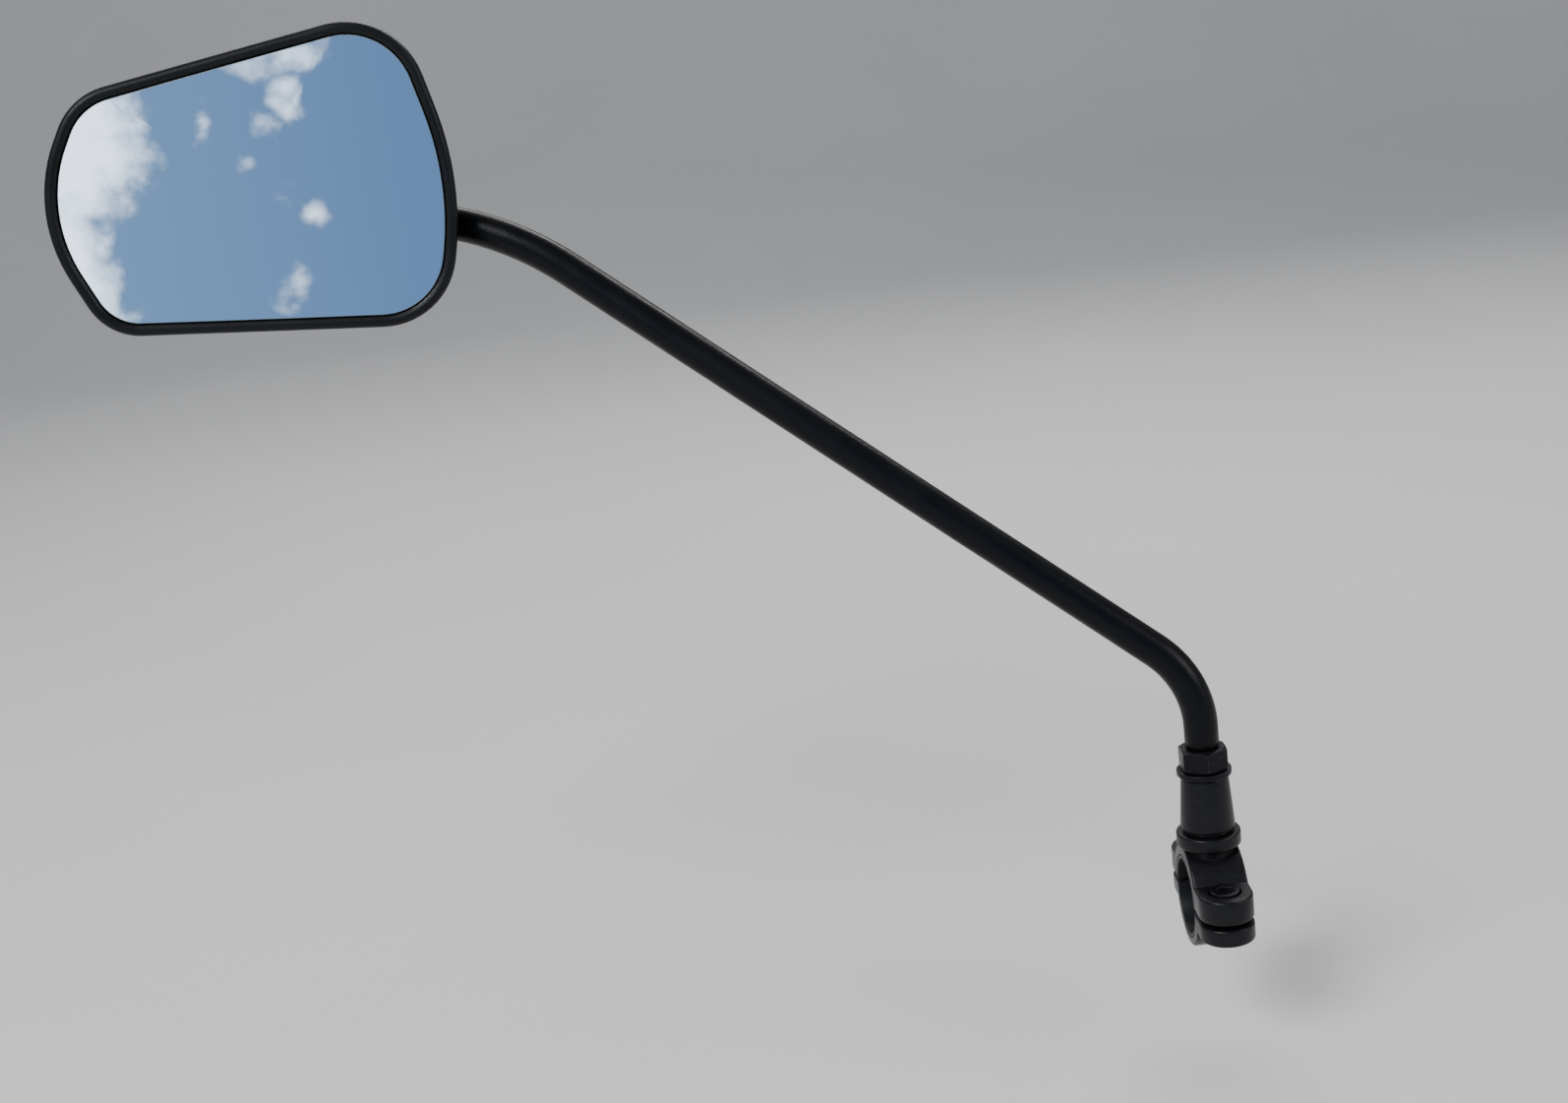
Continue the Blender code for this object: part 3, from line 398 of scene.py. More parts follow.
end_climb = math.asin(-neck_axis.z)
ball_out, ball_up = math.hypot(ball_centre.x, ball_centre.y), ball_centre.z
run_out, run_up = math.cos(climb), math.sin(climb)
end_out, end_up = math.cos(end_climb), math.sin(end_climb)
gap_up = ball_up - corner_height
run_length = (ball_out * end_up - gap_up * end_out) / (run_out * end_up - run_up * end_out)
end_length = (ball_out - run_length * run_out) / end_out
lower_cut = lower_bend * math.tan((math.pi / 2 - climb) / 2)
upper_cut = upper_bend * math.tan((climb - end_climb) / 2)
along_run = Vector((-run_out, 0, run_up))
along_end = Vector((-end_out, 0, end_up))

bpy.ops.object.select_all(action="DESELECT")
bpy.ops.mesh.primitive_circle_add(
    vertices=rod_sides, radius=thread_radius - rod_edge, fill_type="NGON", location=(0, 0, rod_foot)
)
rod = bpy.context.object
rod.name = "bent_rod"
bpy.ops.object.transform_apply(location=True)
bpy.ops.object.mode_set(mode="EDIT")
bpy.ops.mesh.select_all(action="SELECT")
lengthen((0, 0, rod_edge), thread_radius / (thread_radius - rod_edge))
lengthen((0, 0, shank_base - rod_foot - rod_edge))
lengthen((0, 0, 0), (rod_radius - rod_edge) / thread_radius)
lengthen((0, 0, shoulder_rise), (rod_radius - shoulder_rise) / (rod_radius - rod_edge))
lengthen((0, 0, rod_edge - shoulder_rise), rod_radius / (rod_radius - shoulder_rise))
lengthen((0, 0, corner_height - lower_cut - shank_base - rod_edge))
bend_start = corner_height - lower_cut
bpy.ops.mesh.spin(
    steps=lower_bend_steps,
    angle=math.pi / 2 - climb,
    center=(-lower_bend, 0, bend_start),
    axis=(0, 1, 0),
)
straight = run_length - lower_cut - upper_cut
lengthen(along_run * straight)
bend_centre = selected_middle() + upper_bend * Vector((-run_up, 0, -run_out))
bpy.ops.mesh.spin(
    steps=upper_bend_steps, angle=climb - end_climb, center=bend_centre, axis=(0, 1, 0)
)
lengthen(along_end * (end_length - upper_cut - taper_start))
width = rod_radius
for i in range(taper_steps):
    share = (1 - math.cos(math.pi * (i + 1) / taper_steps)) / 2
    target = rod_radius + (neck_radius - rod_radius) * share
    lengthen(along_end * (taper_start - neck_end) / taper_steps, target / width)
    width = target
lengthen(along_end * (neck_end - neck_start))
lengthen((0, 0, 0), pin_radius / neck_radius)
lengthen(along_end * (pin_length - rod_edge / 2))
lengthen(along_end * rod_edge / 2, pin_point)
close_mesh()
rod.rotation_euler.z = -math.atan2(ball_centre.y, -ball_centre.x)
bpy.ops.object.transform_apply(rotation=True)
smooth_between_edges(rod, 40)
rod.data.materials.append(powder)
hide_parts("mirror_rod")
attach(rod, "rod")


# Boss. A tapered collar turned from aluminium bar and anodised black. A stud under it screws into the
# clamp's pedestal, and a threaded hole in its top takes the rod.
boss_low, boss_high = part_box("mirror_boss")
boss_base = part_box("boss_washer")[1].z + fit_gap
boss_top = boss_high.z
boss_foot_radius, boss_crown_radius = 0.0080, 0.0069
stud_radius = 0.0050
rod_hole_radius = thread_radius + fit_gap
rod_hole_depth = 0.0125
boss_edge = 0.0006
# Width of the band along edges that is painted lighter: wear and a painted edge highlight.
edge_wear_and_highlight_width = 0.0003
turned_sides = 72
start_size = 0.001


def draw_from(name, point):
    """Starts a piece as one point, ready to be extruded and spun."""
    bpy.ops.object.select_all(action="DESELECT")
    bpy.ops.mesh.primitive_plane_add(size=start_size)
    piece = bpy.context.object
    piece.name = name
    bpy.ops.object.mode_set(mode="EDIT")
    bpy.ops.mesh.merge(type="CENTER")
    bpy.ops.transform.translate(value=point)
    return piece


def draw_to(*points):
    """Extrudes the line from the selected point through the next ones."""
    for point in points:
        step = Vector(point) - selected_middle()
        bpy.ops.mesh.extrude_vertices_move(TRANSFORM_OT_translate={"value": step})


def turned(name, profile, closed=False, sides=turned_sides):
    """A piece turned about the world's Z axis from its section's (radius, height) points."""
    section = [(radius, 0, height) for radius, height in profile]
    piece = draw_from(name, section[0])
    draw_to(*section[1:])
    if closed:
        draw_to(section[0])
    bpy.ops.mesh.select_all(action="SELECT")
    bpy.ops.mesh.spin(steps=sides, angle=2 * math.pi, center=(0, 0, 0), axis=(0, 0, 1))
    close_mesh()
    return piece


def worn_and_highlit_edges(tree, most):
    """How much lighter the edges are painted, only along edges and unevenly: partly rub-through wear,
    partly a painted edge highlight.
    """
    softened = add_node(tree, "ShaderNodeBevel", samples=4)
    softened.inputs["Radius"].default_value = edge_wear_and_highlight_width
    shape = add_node(tree, "ShaderNodeNewGeometry")
    turn = add_node(tree, "ShaderNodeVectorMath", operation="DOT_PRODUCT")
    tree.links.new(softened.outputs[0], turn.inputs[0])
    tree.links.new(shape.outputs["Normal"], turn.inputs[1])
    edges = spread(tree, turn.outputs["Value"], most, 0.0, 0.92, 0.995)
    return combined(tree, "MULTIPLY", edges, spread(tree, noise_on(tree, 700.0, 4.0), 0.2, 1.0))


anodised, tree, shader = new_material("black_anodised_alloy", (0.005, 0.005, 0.006), 0.36, 0.2)
shader.inputs["Specular IOR Level"].default_value = 0.25
blasted = noise_on(tree, 5200.0, 2.0)
streaks = noise_on(tree, 260.0, 3.0, (1.0, 1.0, 9.0))
patchy = noise_on(tree, 75.0, 4.0)
tree.links.new(spread(tree, patchy, 0.30, 0.44), shader.inputs["Roughness"])
tint = mix_colours(tree, spread(tree, streaks, 0.0, 1.0), (0.004, 0.004, 0.005), (0.008, 0.008, 0.010))
# The edges are painted lighter, towards dull grey: partly rub-through wear, partly a painted edge
# highlight.
wear_and_highlight = worn_and_highlit_edges(tree, 0.5)
tree.links.new(mix_colours(tree, wear_and_highlight, tint, (0.06, 0.06, 0.065)), shader.inputs["Base Color"])
bump_with(tree, shader, [blasted, streaks], [0.00001, 0.00001])

boss = turned(
    "tapered_boss",
    [
        (0, boss_low.z),
        (stud_radius, boss_low.z),
        (stud_radius, boss_base),
        (boss_foot_radius, boss_base),
        (boss_crown_radius, boss_top),
        (rod_hole_radius, boss_top),
        (rod_hole_radius, boss_top - rod_hole_depth),
        (0, boss_top - rod_hole_depth),
    ],
)
round_edges(boss, boss_edge, 4)
boss.data.materials.append(anodised)
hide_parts("mirror_boss")
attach(boss, "clamp")


# Washers and lock nut. Pressed steel washers under the boss and on top of it, and a hexagon nut that
# locks the rod where it points. All are zinc plated black.
washer_edge = 0.00018
nut_flats = 0.0130
nut_corner = nut_flats / 2 / math.cos(math.pi / 6)
nut_chamfer, nut_edge = 0.0006, 0.00025
nut_bore_radius, countersink = thread_radius + fit_gap, 0.0004

zinc, tree, shader = new_material("black_zinc_steel", (0.008, 0.008, 0.010), 0.32, 0.5)
shader.inputs["Specular IOR Level"].default_value = 0.2
brushed = noise_on(tree, 380.0, 3.0, (1.0, 1.0, 7.0))
worn = noise_on(tree, 140.0, 5.0)
tree.links.new(spread(tree, worn, 0.24, 0.46), shader.inputs["Roughness"])
tint = mix_colours(tree, spread(tree, brushed, 0.0, 1.0), (0.005, 0.005, 0.007), (0.011, 0.011, 0.014))
# The edges are painted lighter, towards bright grey: partly rub-through wear, partly a painted edge
# highlight.
wear_and_highlight = worn_and_highlit_edges(tree, 0.8)
tree.links.new(mix_colours(tree, wear_and_highlight, tint, (0.12, 0.12, 0.13)), shader.inputs["Base Color"])
bump_with(tree, shader, [brushed], [0.00002])

for node, name in (("boss_washer", "lock_washer"), ("rod_washer", "plain_washer")):
    low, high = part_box(node)
    hole = stud_radius + fit_gap if node == "boss_washer" else nut_bore_radius
    section = [(hole, low.z), (high.x, low.z), (high.x, high.z), (hole, high.z)]
    washer = turned(name, section, closed=True)
    round_edges(washer, washer_edge)
    washer.data.materials.append(zinc)
    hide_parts(node)
    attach(washer, "clamp")


def cut(piece, tool, operation="DIFFERENCE"):
    """Cuts a piece with a tool, or joins the tool to it, and throws the tool away."""
    apply_modifier(piece, "BOOLEAN", object=tool, operation=operation, solver="EXACT")
    bpy.data.objects.remove(tool)


nut_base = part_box("lock_nut")[0].z
bpy.ops.object.select_all(action="DESELECT")
bpy.ops.mesh.primitive_cylinder_add(
    vertices=6,
    radius=nut_corner,
    depth=nut_top - nut_base,
    location=(0, 0, (nut_top + nut_base) / 2),
)
nut = bpy.context.object
nut.name = "hex_lock_nut"
bpy.ops.object.transform_apply(location=True)
round_edges(nut, nut_edge, 3, 50)
waist = nut_corner + nut_chamfer
flat = nut_flats / 2 - nut_chamfer / 4
drop = (waist - flat) * math.tan(math.radians(30))
corners = turned(
    "nut_corners",
    [
        (0, nut_base),
        (flat, nut_base),
        (waist, nut_base + drop),
        (waist, nut_top - drop),
        (flat, nut_top),
        (0, nut_top),
    ],
)
cut(nut, corners, "INTERSECT")
bore = turned(
    "nut_bore",
    [
        (0, nut_base - countersink),
        (nut_bore_radius + 2 * countersink, nut_base - countersink),
        (nut_bore_radius, nut_base + countersink),
        (nut_bore_radius, nut_top - countersink),
        (nut_bore_radius + 2 * countersink, nut_top + countersink),
        (0, nut_top + countersink),
    ],
)
cut(nut, bore)
smooth_between_edges(nut, 20)
nut.data.materials.append(zinc)
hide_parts("lock_nut")
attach(nut, "rod")


# Clamp. Two forged aluminium halves, anodised black, that close round the handlebar. The upper half has
# round ears with counterbores for the screws, and a pedestal that the boss screws into.
clamp_width = 0.016
split_gap = 0.0015
seat_radius = 0.0124
screw_offset = 0.01785
upper_band, upper_ear = 0.0156, 0.0074
lower_band, lower_ear = 0.0148, 0.0052
ear_round = 0.0079
forged_edge, pedestal_edge = 0.0007, 0.0006
band_steps, ear_steps, seat_sides = 40, 18, 96
pedestal_neck_radius, pedestal_radius = 0.0076, 0.0094
pedestal_neck_top, pedestal_top = 0.0163, 0.0205
stud_hole_depth = 0.0063
counterbore_floor = 0.00355
counterbore_radius, shank_hole_radius = 0.00455, 0.0028
mouth_chamfer = 0.0003
in_line = 1e-5
overcut = 0.001


def fill_and_extrude(step):
    """Fills the drawn outline and gives it its thickness."""
    bpy.ops.mesh.select_all(action="SELECT")
    bpy.ops.mesh.remove_doubles(threshold=doubled)
    bpy.ops.mesh.edge_face_add()
    bpy.ops.mesh.extrude_region_move(TRANSFORM_OT_translate={"value": step})
    close_mesh()


def bar_cylinder(name, radius, length):
    """A round cutter along the handlebar."""
    tool = turned(name, [(0, -length), (radius, -length), (radius, length), (0, length)], sides=seat_sides)
    tool.rotation_euler = (0, math.pi / 2, 0)
    activate(tool)
    bpy.ops.object.transform_apply(rotation=True)
    return tool


def clamp_half(name, band, ear, side):
    """One half's forging: a band over the bar between two ears, drawn end-on and extruded."""
    ear_top = side * (split_gap / 2 + ear)
    split_face = side * split_gap / 2
    reach = screw_offset + clamp_width / 2
    start = math.asin(abs(ear_top) / band)
    side_of_band = band * math.cos(start)
    piece = draw_from(name, (-clamp_width / 2, reach, split_face))
    draw_to((-clamp_width / 2, reach, ear_top), (-clamp_width / 2, side_of_band, ear_top))
    bpy.ops.mesh.spin(
        steps=band_steps,
        angle=-side * (math.pi - 2 * start),
        center=(-clamp_width / 2, 0, 0),
        axis=(1, 0, 0),
    )
    draw_to((-clamp_width / 2, -reach, ear_top), (-clamp_width / 2, -reach, split_face))
    fill_and_extrude((clamp_width, 0, 0))
    bpy.ops.object.mode_set(mode="EDIT")
    bpy.ops.mesh.select_all(action="DESELECT")
    bpy.ops.mesh.select_mode(type="EDGE")
    mesh = bmesh.from_edit_mesh(piece.data)
    for edge in mesh.edges:
        first, last = (v.co for v in edge.verts)
        at_end = min(abs(first.y), abs(last.y)) > reach - in_line and first.y * last.y > 0
        edge.select_set(at_end and abs(first.x - last.x) < in_line)
    bmesh.update_edit_mesh(piece.data)
    bpy.ops.mesh.bevel(offset=ear_round, segments=ear_steps, affect="EDGES")
    bpy.ops.mesh.select_mode(type="VERT")
    bpy.ops.object.mode_set(mode="OBJECT")
    round_edges(piece, forged_edge, 4)
    return piece


upper_half = clamp_half("clamp_upper_half", upper_band, upper_ear, 1)
pedestal = turned(
    "pedestal",
    [
        (0, seat_radius),
        (pedestal_neck_radius, seat_radius),
        (pedestal_neck_radius, pedestal_neck_top),
        (pedestal_radius, pedestal_neck_top),
        (pedestal_radius, pedestal_top),
        (0, pedestal_top),
    ],
)
round_edges(pedestal, pedestal_edge, 4)
cut(upper_half, pedestal, "UNION")
cut(upper_half, bar_cylinder("upper_seat", seat_radius, clamp_width))
stud_hole_radius = stud_radius + fit_gap
stud_hole_floor = pedestal_top - stud_hole_depth
stud_hole = turned(
    "stud_hole",
    [
        (0, stud_hole_floor),
        (stud_hole_radius, stud_hole_floor),
        (stud_hole_radius, pedestal_top + overcut),
        (0, pedestal_top + overcut),
    ],
)
cut(upper_half, stud_hole)
ear_surface = split_gap / 2 + upper_ear
for offset in (-screw_offset, screw_offset):
    counterbore = turned(
        "counterbore",
        [
            (0, 0),
            (shank_hole_radius, 0),
            (shank_hole_radius, counterbore_floor),
            (counterbore_radius, counterbore_floor),
            (counterbore_radius, ear_surface - mouth_chamfer),
            (counterbore_radius + 2 * mouth_chamfer, ear_surface + mouth_chamfer),
            (0, ear_surface + mouth_chamfer),
        ],
    )
    counterbore.location.y = offset
    cut(upper_half, counterbore)
lower_half = clamp_half("clamp_lower_half", lower_band, lower_ear, -1)
cut(lower_half, bar_cylinder("lower_seat", seat_radius, clamp_width))
for offset in (-screw_offset, screw_offset):
    lower_face = -split_gap / 2 - lower_ear
    threaded_hole = turned(
        "threaded_hole",
        [
            (0, lower_face - mouth_chamfer),
            (shank_hole_radius + 2 * mouth_chamfer, lower_face - mouth_chamfer),
            (shank_hole_radius, lower_face + mouth_chamfer),
            (shank_hole_radius, 0),
            (0, 0),
        ],
    )
    threaded_hole.location.y = offset
    cut(lower_half, threaded_hole)
for piece, node, body in (
    (upper_half, "clamp_upper", "clamp"),
    (lower_half, "clamp_lower", "clamp_cap"),
):
    smooth_between_edges(piece, 35)
    piece.data.materials.append(anodised)
    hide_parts(node)
    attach(piece, body)


# Clamp screws. Two black socket-head cap screws, sunk in the upper half and threaded into the lower one.
cap_radius, cap_height = 0.00425, 0.0050
cap_shank_radius, shank_short = 0.0025, 0.0006
cap_socket, cap_socket_depth = 0.0040, 0.0026
cap_knurls, knurl_bottom = 72, 0.965
shank_point, head_rounding = 0.3, 0.06


def socket_screw(name, shank, length, head, head_height, socket, depth, knurls=0):
    """A socket-head screw about Z, its head's seat at the origin: turned, knurled and cut for a key."""
    screw = turned(
        name,
        [
            (0, -length),
            (shank * (1 - shank_point), -length),
            (shank, -length + shank * shank_point),
            (shank, 0),
            (head, 0),
            (head, head_height),
            (0, head_height),
        ],
        sides=knurls or turned_sides,
    )
    if knurls:
        bpy.ops.object.mode_set(mode="EDIT")
        bpy.ops.mesh.select_all(action="DESELECT")
        bpy.ops.mesh.select_mode(type="EDGE")
        mesh = bmesh.from_edit_mesh(screw.data)
        wall = [e for e in mesh.edges if all(v.co.xy.length > head - in_line for v in e.verts)]
        upright = [e for e in wall if abs(e.verts[0].co.z - e.verts[1].co.z) > head_height / 2]
        for edge in upright:
            around = math.atan2(edge.verts[0].co.y, edge.verts[0].co.x) / (2 * math.pi) * knurls
            edge.select_set(round(around) % 2 == 0)
        bmesh.update_edit_mesh(screw.data)
        bpy.ops.transform.resize(value=(knurl_bottom, knurl_bottom, 1.0), center_override=(0, 0, 0))
        bpy.ops.mesh.select_mode(type="VERT")
        bpy.ops.object.mode_set(mode="OBJECT")
    bpy.ops.object.select_all(action="DESELECT")
    bpy.ops.mesh.primitive_cylinder_add(
        vertices=6,
        radius=socket / 2 / math.cos(math.pi / 6),
        depth=2 * depth,
        location=(0, 0, head_height),
    )
    cut(screw, bpy.context.object)
    round_edges(screw, head_height * head_rounding, 2, 40)
    return screw


shank_length = counterbore_floor + split_gap / 2 + lower_ear - shank_short
first = socket_screw(
    "clamp_cap_screw",
    cap_shank_radius,
    shank_length,
    cap_radius,
    cap_height,
    cap_socket,
    cap_socket_depth,
    cap_knurls,
)
first.data.materials.append(zinc)
for node, offset in (("clamp_screw_front", -screw_offset), ("clamp_screw_rear", screw_offset)):
    screw = bpy.data.objects.new(node.replace("clamp_screw", "cap_screw"), first.data.copy())
    bpy.context.scene.collection.objects.link(screw)
    screw.location = (0, offset, counterbore_floor + fit_gap)
    activate(screw)
    bpy.ops.object.transform_apply(location=True)
    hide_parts(node)
    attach(screw, "clamp")
bpy.data.objects.remove(first)


# Shims. Two half sleeves, moulded in black nylon, that line the clamp. They keep it from marking the bar
# and fill it up to the bar's size.
bar_radius, shim_wall, shim_edge = 0.0111, 0.0010, 0.00015
shim_steps = 48

moulding, tree, shader = new_material("moulded_black_nylon", (0.004, 0.004, 0.005), 0.42)
shader.inputs["Specular IOR Level"].default_value = 0.18
grain = add_node(tree, "ShaderNodeTexVoronoi", feature="SMOOTH_F1")
grain.inputs["Scale"].default_value = 2600.0
tree.links.new(add_node(tree, "ShaderNodeTexCoord").outputs["Object"], grain.inputs["Vector"])
flow = noise_on(tree, 45.0, 4.0)
dust = noise_on(tree, 1400.0, 6.0)
tree.links.new(spread(tree, flow, 0.36, 0.50), shader.inputs["Roughness"])
tint = mix_colours(tree, spread(tree, flow, 0.0, 1.0), (0.0035, 0.0038, 0.0048), (0.0060, 0.0065, 0.0080))
speck = spread(tree, dust, 0.0, 0.20, 0.64, 0.80)
tree.links.new(mix_colours(tree, speck, tint, (0.05, 0.05, 0.05)), shader.inputs["Base Color"])
bump_with(tree, shader, [grain.outputs["Distance"], flow], [0.00004, 0.00006])

split_start = math.asin(split_gap / 2 / bar_radius)
for node, name, side, body in (
    ("shim_upper", "upper_shim", 1, "clamp"),
    ("shim_lower", "lower_shim", -1, "clamp_cap"),
):
    inner = Vector((bar_radius * math.cos(split_start), side * bar_radius * math.sin(split_start)))
    outer = inner * (bar_radius + shim_wall) / bar_radius
    end = -clamp_width / 2
    shim = draw_from(name, (end, inner.x, inner.y))
    sweep = side * (math.pi - 2 * split_start)
    bpy.ops.mesh.spin(steps=shim_steps, angle=-sweep, center=(end, 0, 0), axis=(1, 0, 0))
    draw_to((end, -outer.x, outer.y))
    bpy.ops.mesh.spin(steps=shim_steps, angle=sweep, center=(end, 0, 0), axis=(1, 0, 0))
    fill_and_extrude((clamp_width, 0, 0))
    round_edges(shim, shim_edge, 2)
    shim.data.materials.append(moulding)
    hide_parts(node)
    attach(shim, body)


# Rim. The front moulding in black nylon: a rounded bead round the glass, with a wall behind it down to
# the seam with the back shell. It's drawn in the head's own axes, X to its right, Y back and Z up it.
head_back = Vector(joint["head_roll"]["axis"])
head_up = Vector(joint["head_pan"]["axis"])
head_right = head_back.cross(head_up)
head_turn = Matrix((head_right, head_back, head_up)).transposed()
head_place = Matrix.Translation(ball_centre) @ head_turn.to_4x4()
head_width, head_height = 0.1127, 0.0861
ball_inset, ball_height, ball_depth = 0.0083, 0.0298, 0.0195
corner_shares = (
    (0.922, 0.796, 0.0200),
    (0.116, 1.050, 0.0220),
    (-0.0275, 0.470, 0.0900),
    (0.039, -0.0035, 0.0220),
    (0.890, 0.014, 0.0160),
    (1.054, 0.423, 0.04445),
)
head_middle = Vector((ball_inset - head_width / 2, 0, head_height / 2 - ball_height))
rim_width, rim_depth = 0.0032, 0.0072
bead_shoulder, bead_lip = 0.0019, 0.0011
bead_half, bead_steps = 0.00176, 8
rim_draft, inner_draft, rim_edge = 0.0007, 0.00005, 0.00025
corner_steps, long_side, shortest_side = 14, 0.003, 0.0002


def draw_straight(end):
    """Draws a straight side in three lengths, or in one if it's short."""
    start = selected_middle()
    if (end - start).length > long_side:
        draw_to(start.lerp(end, 1 / 3), start.lerp(end, 2 / 3))
    draw_to(end)


def head_outline(name, inset, depth):
    """Draws the head's six-cornered outline, with round corners, as a loop at a depth behind the bead."""
    level = depth - ball_depth
    spots = [
        Vector((ball_inset - across * head_width, level, up * head_height - ball_height))
        for across, up, _ in corner_shares
    ]
    piece = home = None
    for i, (_, _, radius) in enumerate(corner_shares):
        corner = spots[i]
        back = (spots[i - 1] - corner).normalized()
        ahead = (spots[(i + 1) % len(spots)] - corner).normalized()
        half = back.angle(ahead) / 2
        centre = corner + (back + ahead).normalized() * radius / math.sin(half)
        to_start = (corner + back * radius / math.tan(half) - centre).normalized()
        start = centre + to_start * (radius - inset)
        if piece is None:
            piece = draw_from(name, start)
        else:
            draw_straight(start)
        bpy.ops.mesh.spin(
            steps=corner_steps, angle=2 * half - math.pi, center=centre, axis=(0, 1, 0)
        )
        home = home or start
    draw_straight(home)
    bpy.ops.mesh.select_all(action="SELECT")
    bpy.ops.mesh.remove_doubles(threshold=shortest_side)
    return piece


def draw_in(back, across, up=None):
    """Extrudes the selected loop back by a step, and brings it in or out about the head's middle."""
    bpy.ops.mesh.extrude_edges_move(TRANSFORM_OT_translate={"value": (0, back, 0)})
    centre = (head_middle.x, 0, head_middle.z)
    bpy.ops.transform.resize(value=(across, 1, up or across), center_override=centre)


def put_on_head(piece):
    """Moves a piece from the head's own axes to its place on the rod."""
    activate(piece)
    piece.matrix_world = head_place
    bpy.ops.object.transform_apply(location=True, rotation=True, scale=True)


def facing_back(piece):
    """How far the faces of a piece in edit mode look to the head's back, all together."""
    return sum(face.normal.y for face in bmesh.from_edit_mesh(piece.data).faces)


def select_open_edges(piece, level=None):
    """Selects a piece's open edges, all of them or the ones at a depth."""
    bpy.ops.mesh.select_all(action="DESELECT")
    bpy.ops.mesh.select_mode(type="EDGE")
    mesh = bmesh.from_edit_mesh(piece.data)
    for edge in mesh.edges:
        depth = sum(v.co.y for v in edge.verts) / 2 + ball_depth
        edge.select_set(edge.is_boundary and (level is None or abs(depth - level) < in_line))
    bmesh.update_edit_mesh(piece.data)


rim = head_outline("glass_rim", 0.0, bead_shoulder)
bpy.ops.mesh.edge_face_add()
if facing_back(rim) > 0:
    bpy.ops.mesh.flip_normals()
quarter = [math.pi / 2 * (i + 1) / bead_steps for i in range(bead_steps)]
bead = [(bead_half * (1 - math.cos(a)), bead_shoulder * math.sin(a)) for a in quarter]
for a in quarter:
    inwards = bead_half + (rim_width - bead_half) * math.sin(a)
    bead.append((inwards, bead_shoulder - bead_lip * (1 - math.cos(a))))
before = (0.0, 0.0)
for inwards, forwards in bead:
    bpy.ops.mesh.inset(thickness=inwards - before[0], depth=forwards - before[1])
    before = (inwards, forwards)
bpy.ops.mesh.inset(thickness=inner_draft, depth=bead_lip - rim_depth)
bpy.ops.mesh.delete(type="FACE")
select_open_edges(rim, bead_shoulder)
in_by = 2 * rim_draft
draw_in(rim_depth - bead_shoulder, 1 - in_by / head_width, 1 - in_by / head_height)
select_open_edges(rim)
bpy.ops.mesh.bridge_edge_loops()
bpy.ops.mesh.select_mode(type="VERT")
close_mesh()
round_edges(rim, rim_edge, 2, 50)
put_on_head(rim)
rim.data.materials.append(moulding)
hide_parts("rim")
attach(rim, "head")


# Glass. A convex mirror: 2 mm glass, silvered, with a ground edge, bonded with butyl sheet on a plate
# that is part of the rim's moulding. Glass, sheet and plate all share the same bulge.
bulge_radius = 1.2
sheet_rings = 16
glass_sunk, glass_thickness, glass_inset = 0.0005, 0.0020, 0.00355
plate_front, plate_thickness, plate_edge = 0.0041, 0.0015, 0.0002
ground_edge = 0.00025
silvered_within = 0.995


def convex_sheet(name, inset, depth, thickness):
    """A sheet of the head's outline, ringed down to its middle, bulged on a sphere and made solid."""
    piece = head_outline(name, inset, depth)
    width = 1.0
    for i in range(sheet_rings):
        next_width = (sheet_rings - i - 0.5) / sheet_rings
        draw_in(0, next_width / width)
        width = next_width
    bpy.ops.mesh.edge_face_add()
    bpy.ops.mesh.poke()
    close_mesh()
    centre = bpy.data.objects.new("bulge_centre", None)
    bpy.context.scene.collection.objects.link(centre)
    centre.location = (head_middle.x, depth - ball_depth + bulge_radius, head_middle.z)
    bpy.context.view_layer.update()
    apply_modifier(
        piece, "CAST", cast_type="SPHERE", factor=1.0, radius=0.0, size=bulge_radius, object=centre
    )
    bpy.data.objects.remove(centre)
    bpy.ops.object.mode_set(mode="EDIT")
    bpy.ops.mesh.select_all(action="SELECT")
    if facing_back(piece) > 0:
        bpy.ops.mesh.flip_normals()
    bpy.ops.object.mode_set(mode="OBJECT")
    apply_modifier(piece, "SOLIDIFY", thickness=thickness, offset=-1.0)
    return piece


silvered, tree, shader = new_material("silvered_glass", (0.84, 0.88, 0.91), 0.012, 1.0)
smudge = noise_on(tree, 22.0, 5.0)
film = spread(tree, smudge, 0.006, 0.022, 0.45, 0.75)
tree.links.new(film, shader.inputs["Roughness"])
mote = spread(tree, noise_on(tree, 1100.0, 4.0), 0.0, 0.10, 0.68, 0.80)
tint = mix_colours(tree, mote, (0.84, 0.88, 0.91), (0.50, 0.50, 0.50))
tree.links.new(tint, shader.inputs["Base Color"])
ground, tree, shader = new_material("ground_glass_edge", (0.16, 0.20, 0.21), 0.35)
chatter = noise_on(tree, 2400.0, 3.0)
tree.links.new(spread(tree, chatter, 0.28, 0.50), shader.inputs["Roughness"])
tint = mix_colours(tree, spread(tree, chatter, 0.0, 1.0), (0.10, 0.14, 0.15), (0.24, 0.29, 0.30))
tree.links.new(tint, shader.inputs["Base Color"])
bump_with(tree, shader, [chatter], [0.00003])

glass = convex_sheet("convex_glass", glass_inset, glass_sunk, glass_thickness)
round_edges(glass, ground_edge, 3, 60)
smooth_between_edges(glass, 8)
glass.data.materials.append(silvered)
glass.data.materials.append(ground)
for face in glass.data.polygons:
    face.material_index = 0 if face.normal.y < -silvered_within else 1
put_on_head(glass)
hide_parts("mirror_glass")
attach(glass, "head")
plate = convex_sheet("glass_plate", rim_width, plate_front, plate_thickness)
round_edges(plate, plate_edge, 2, 60)
plate.data.materials.append(moulding)
put_on_head(plate)
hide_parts("rim")
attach(plate, "head")


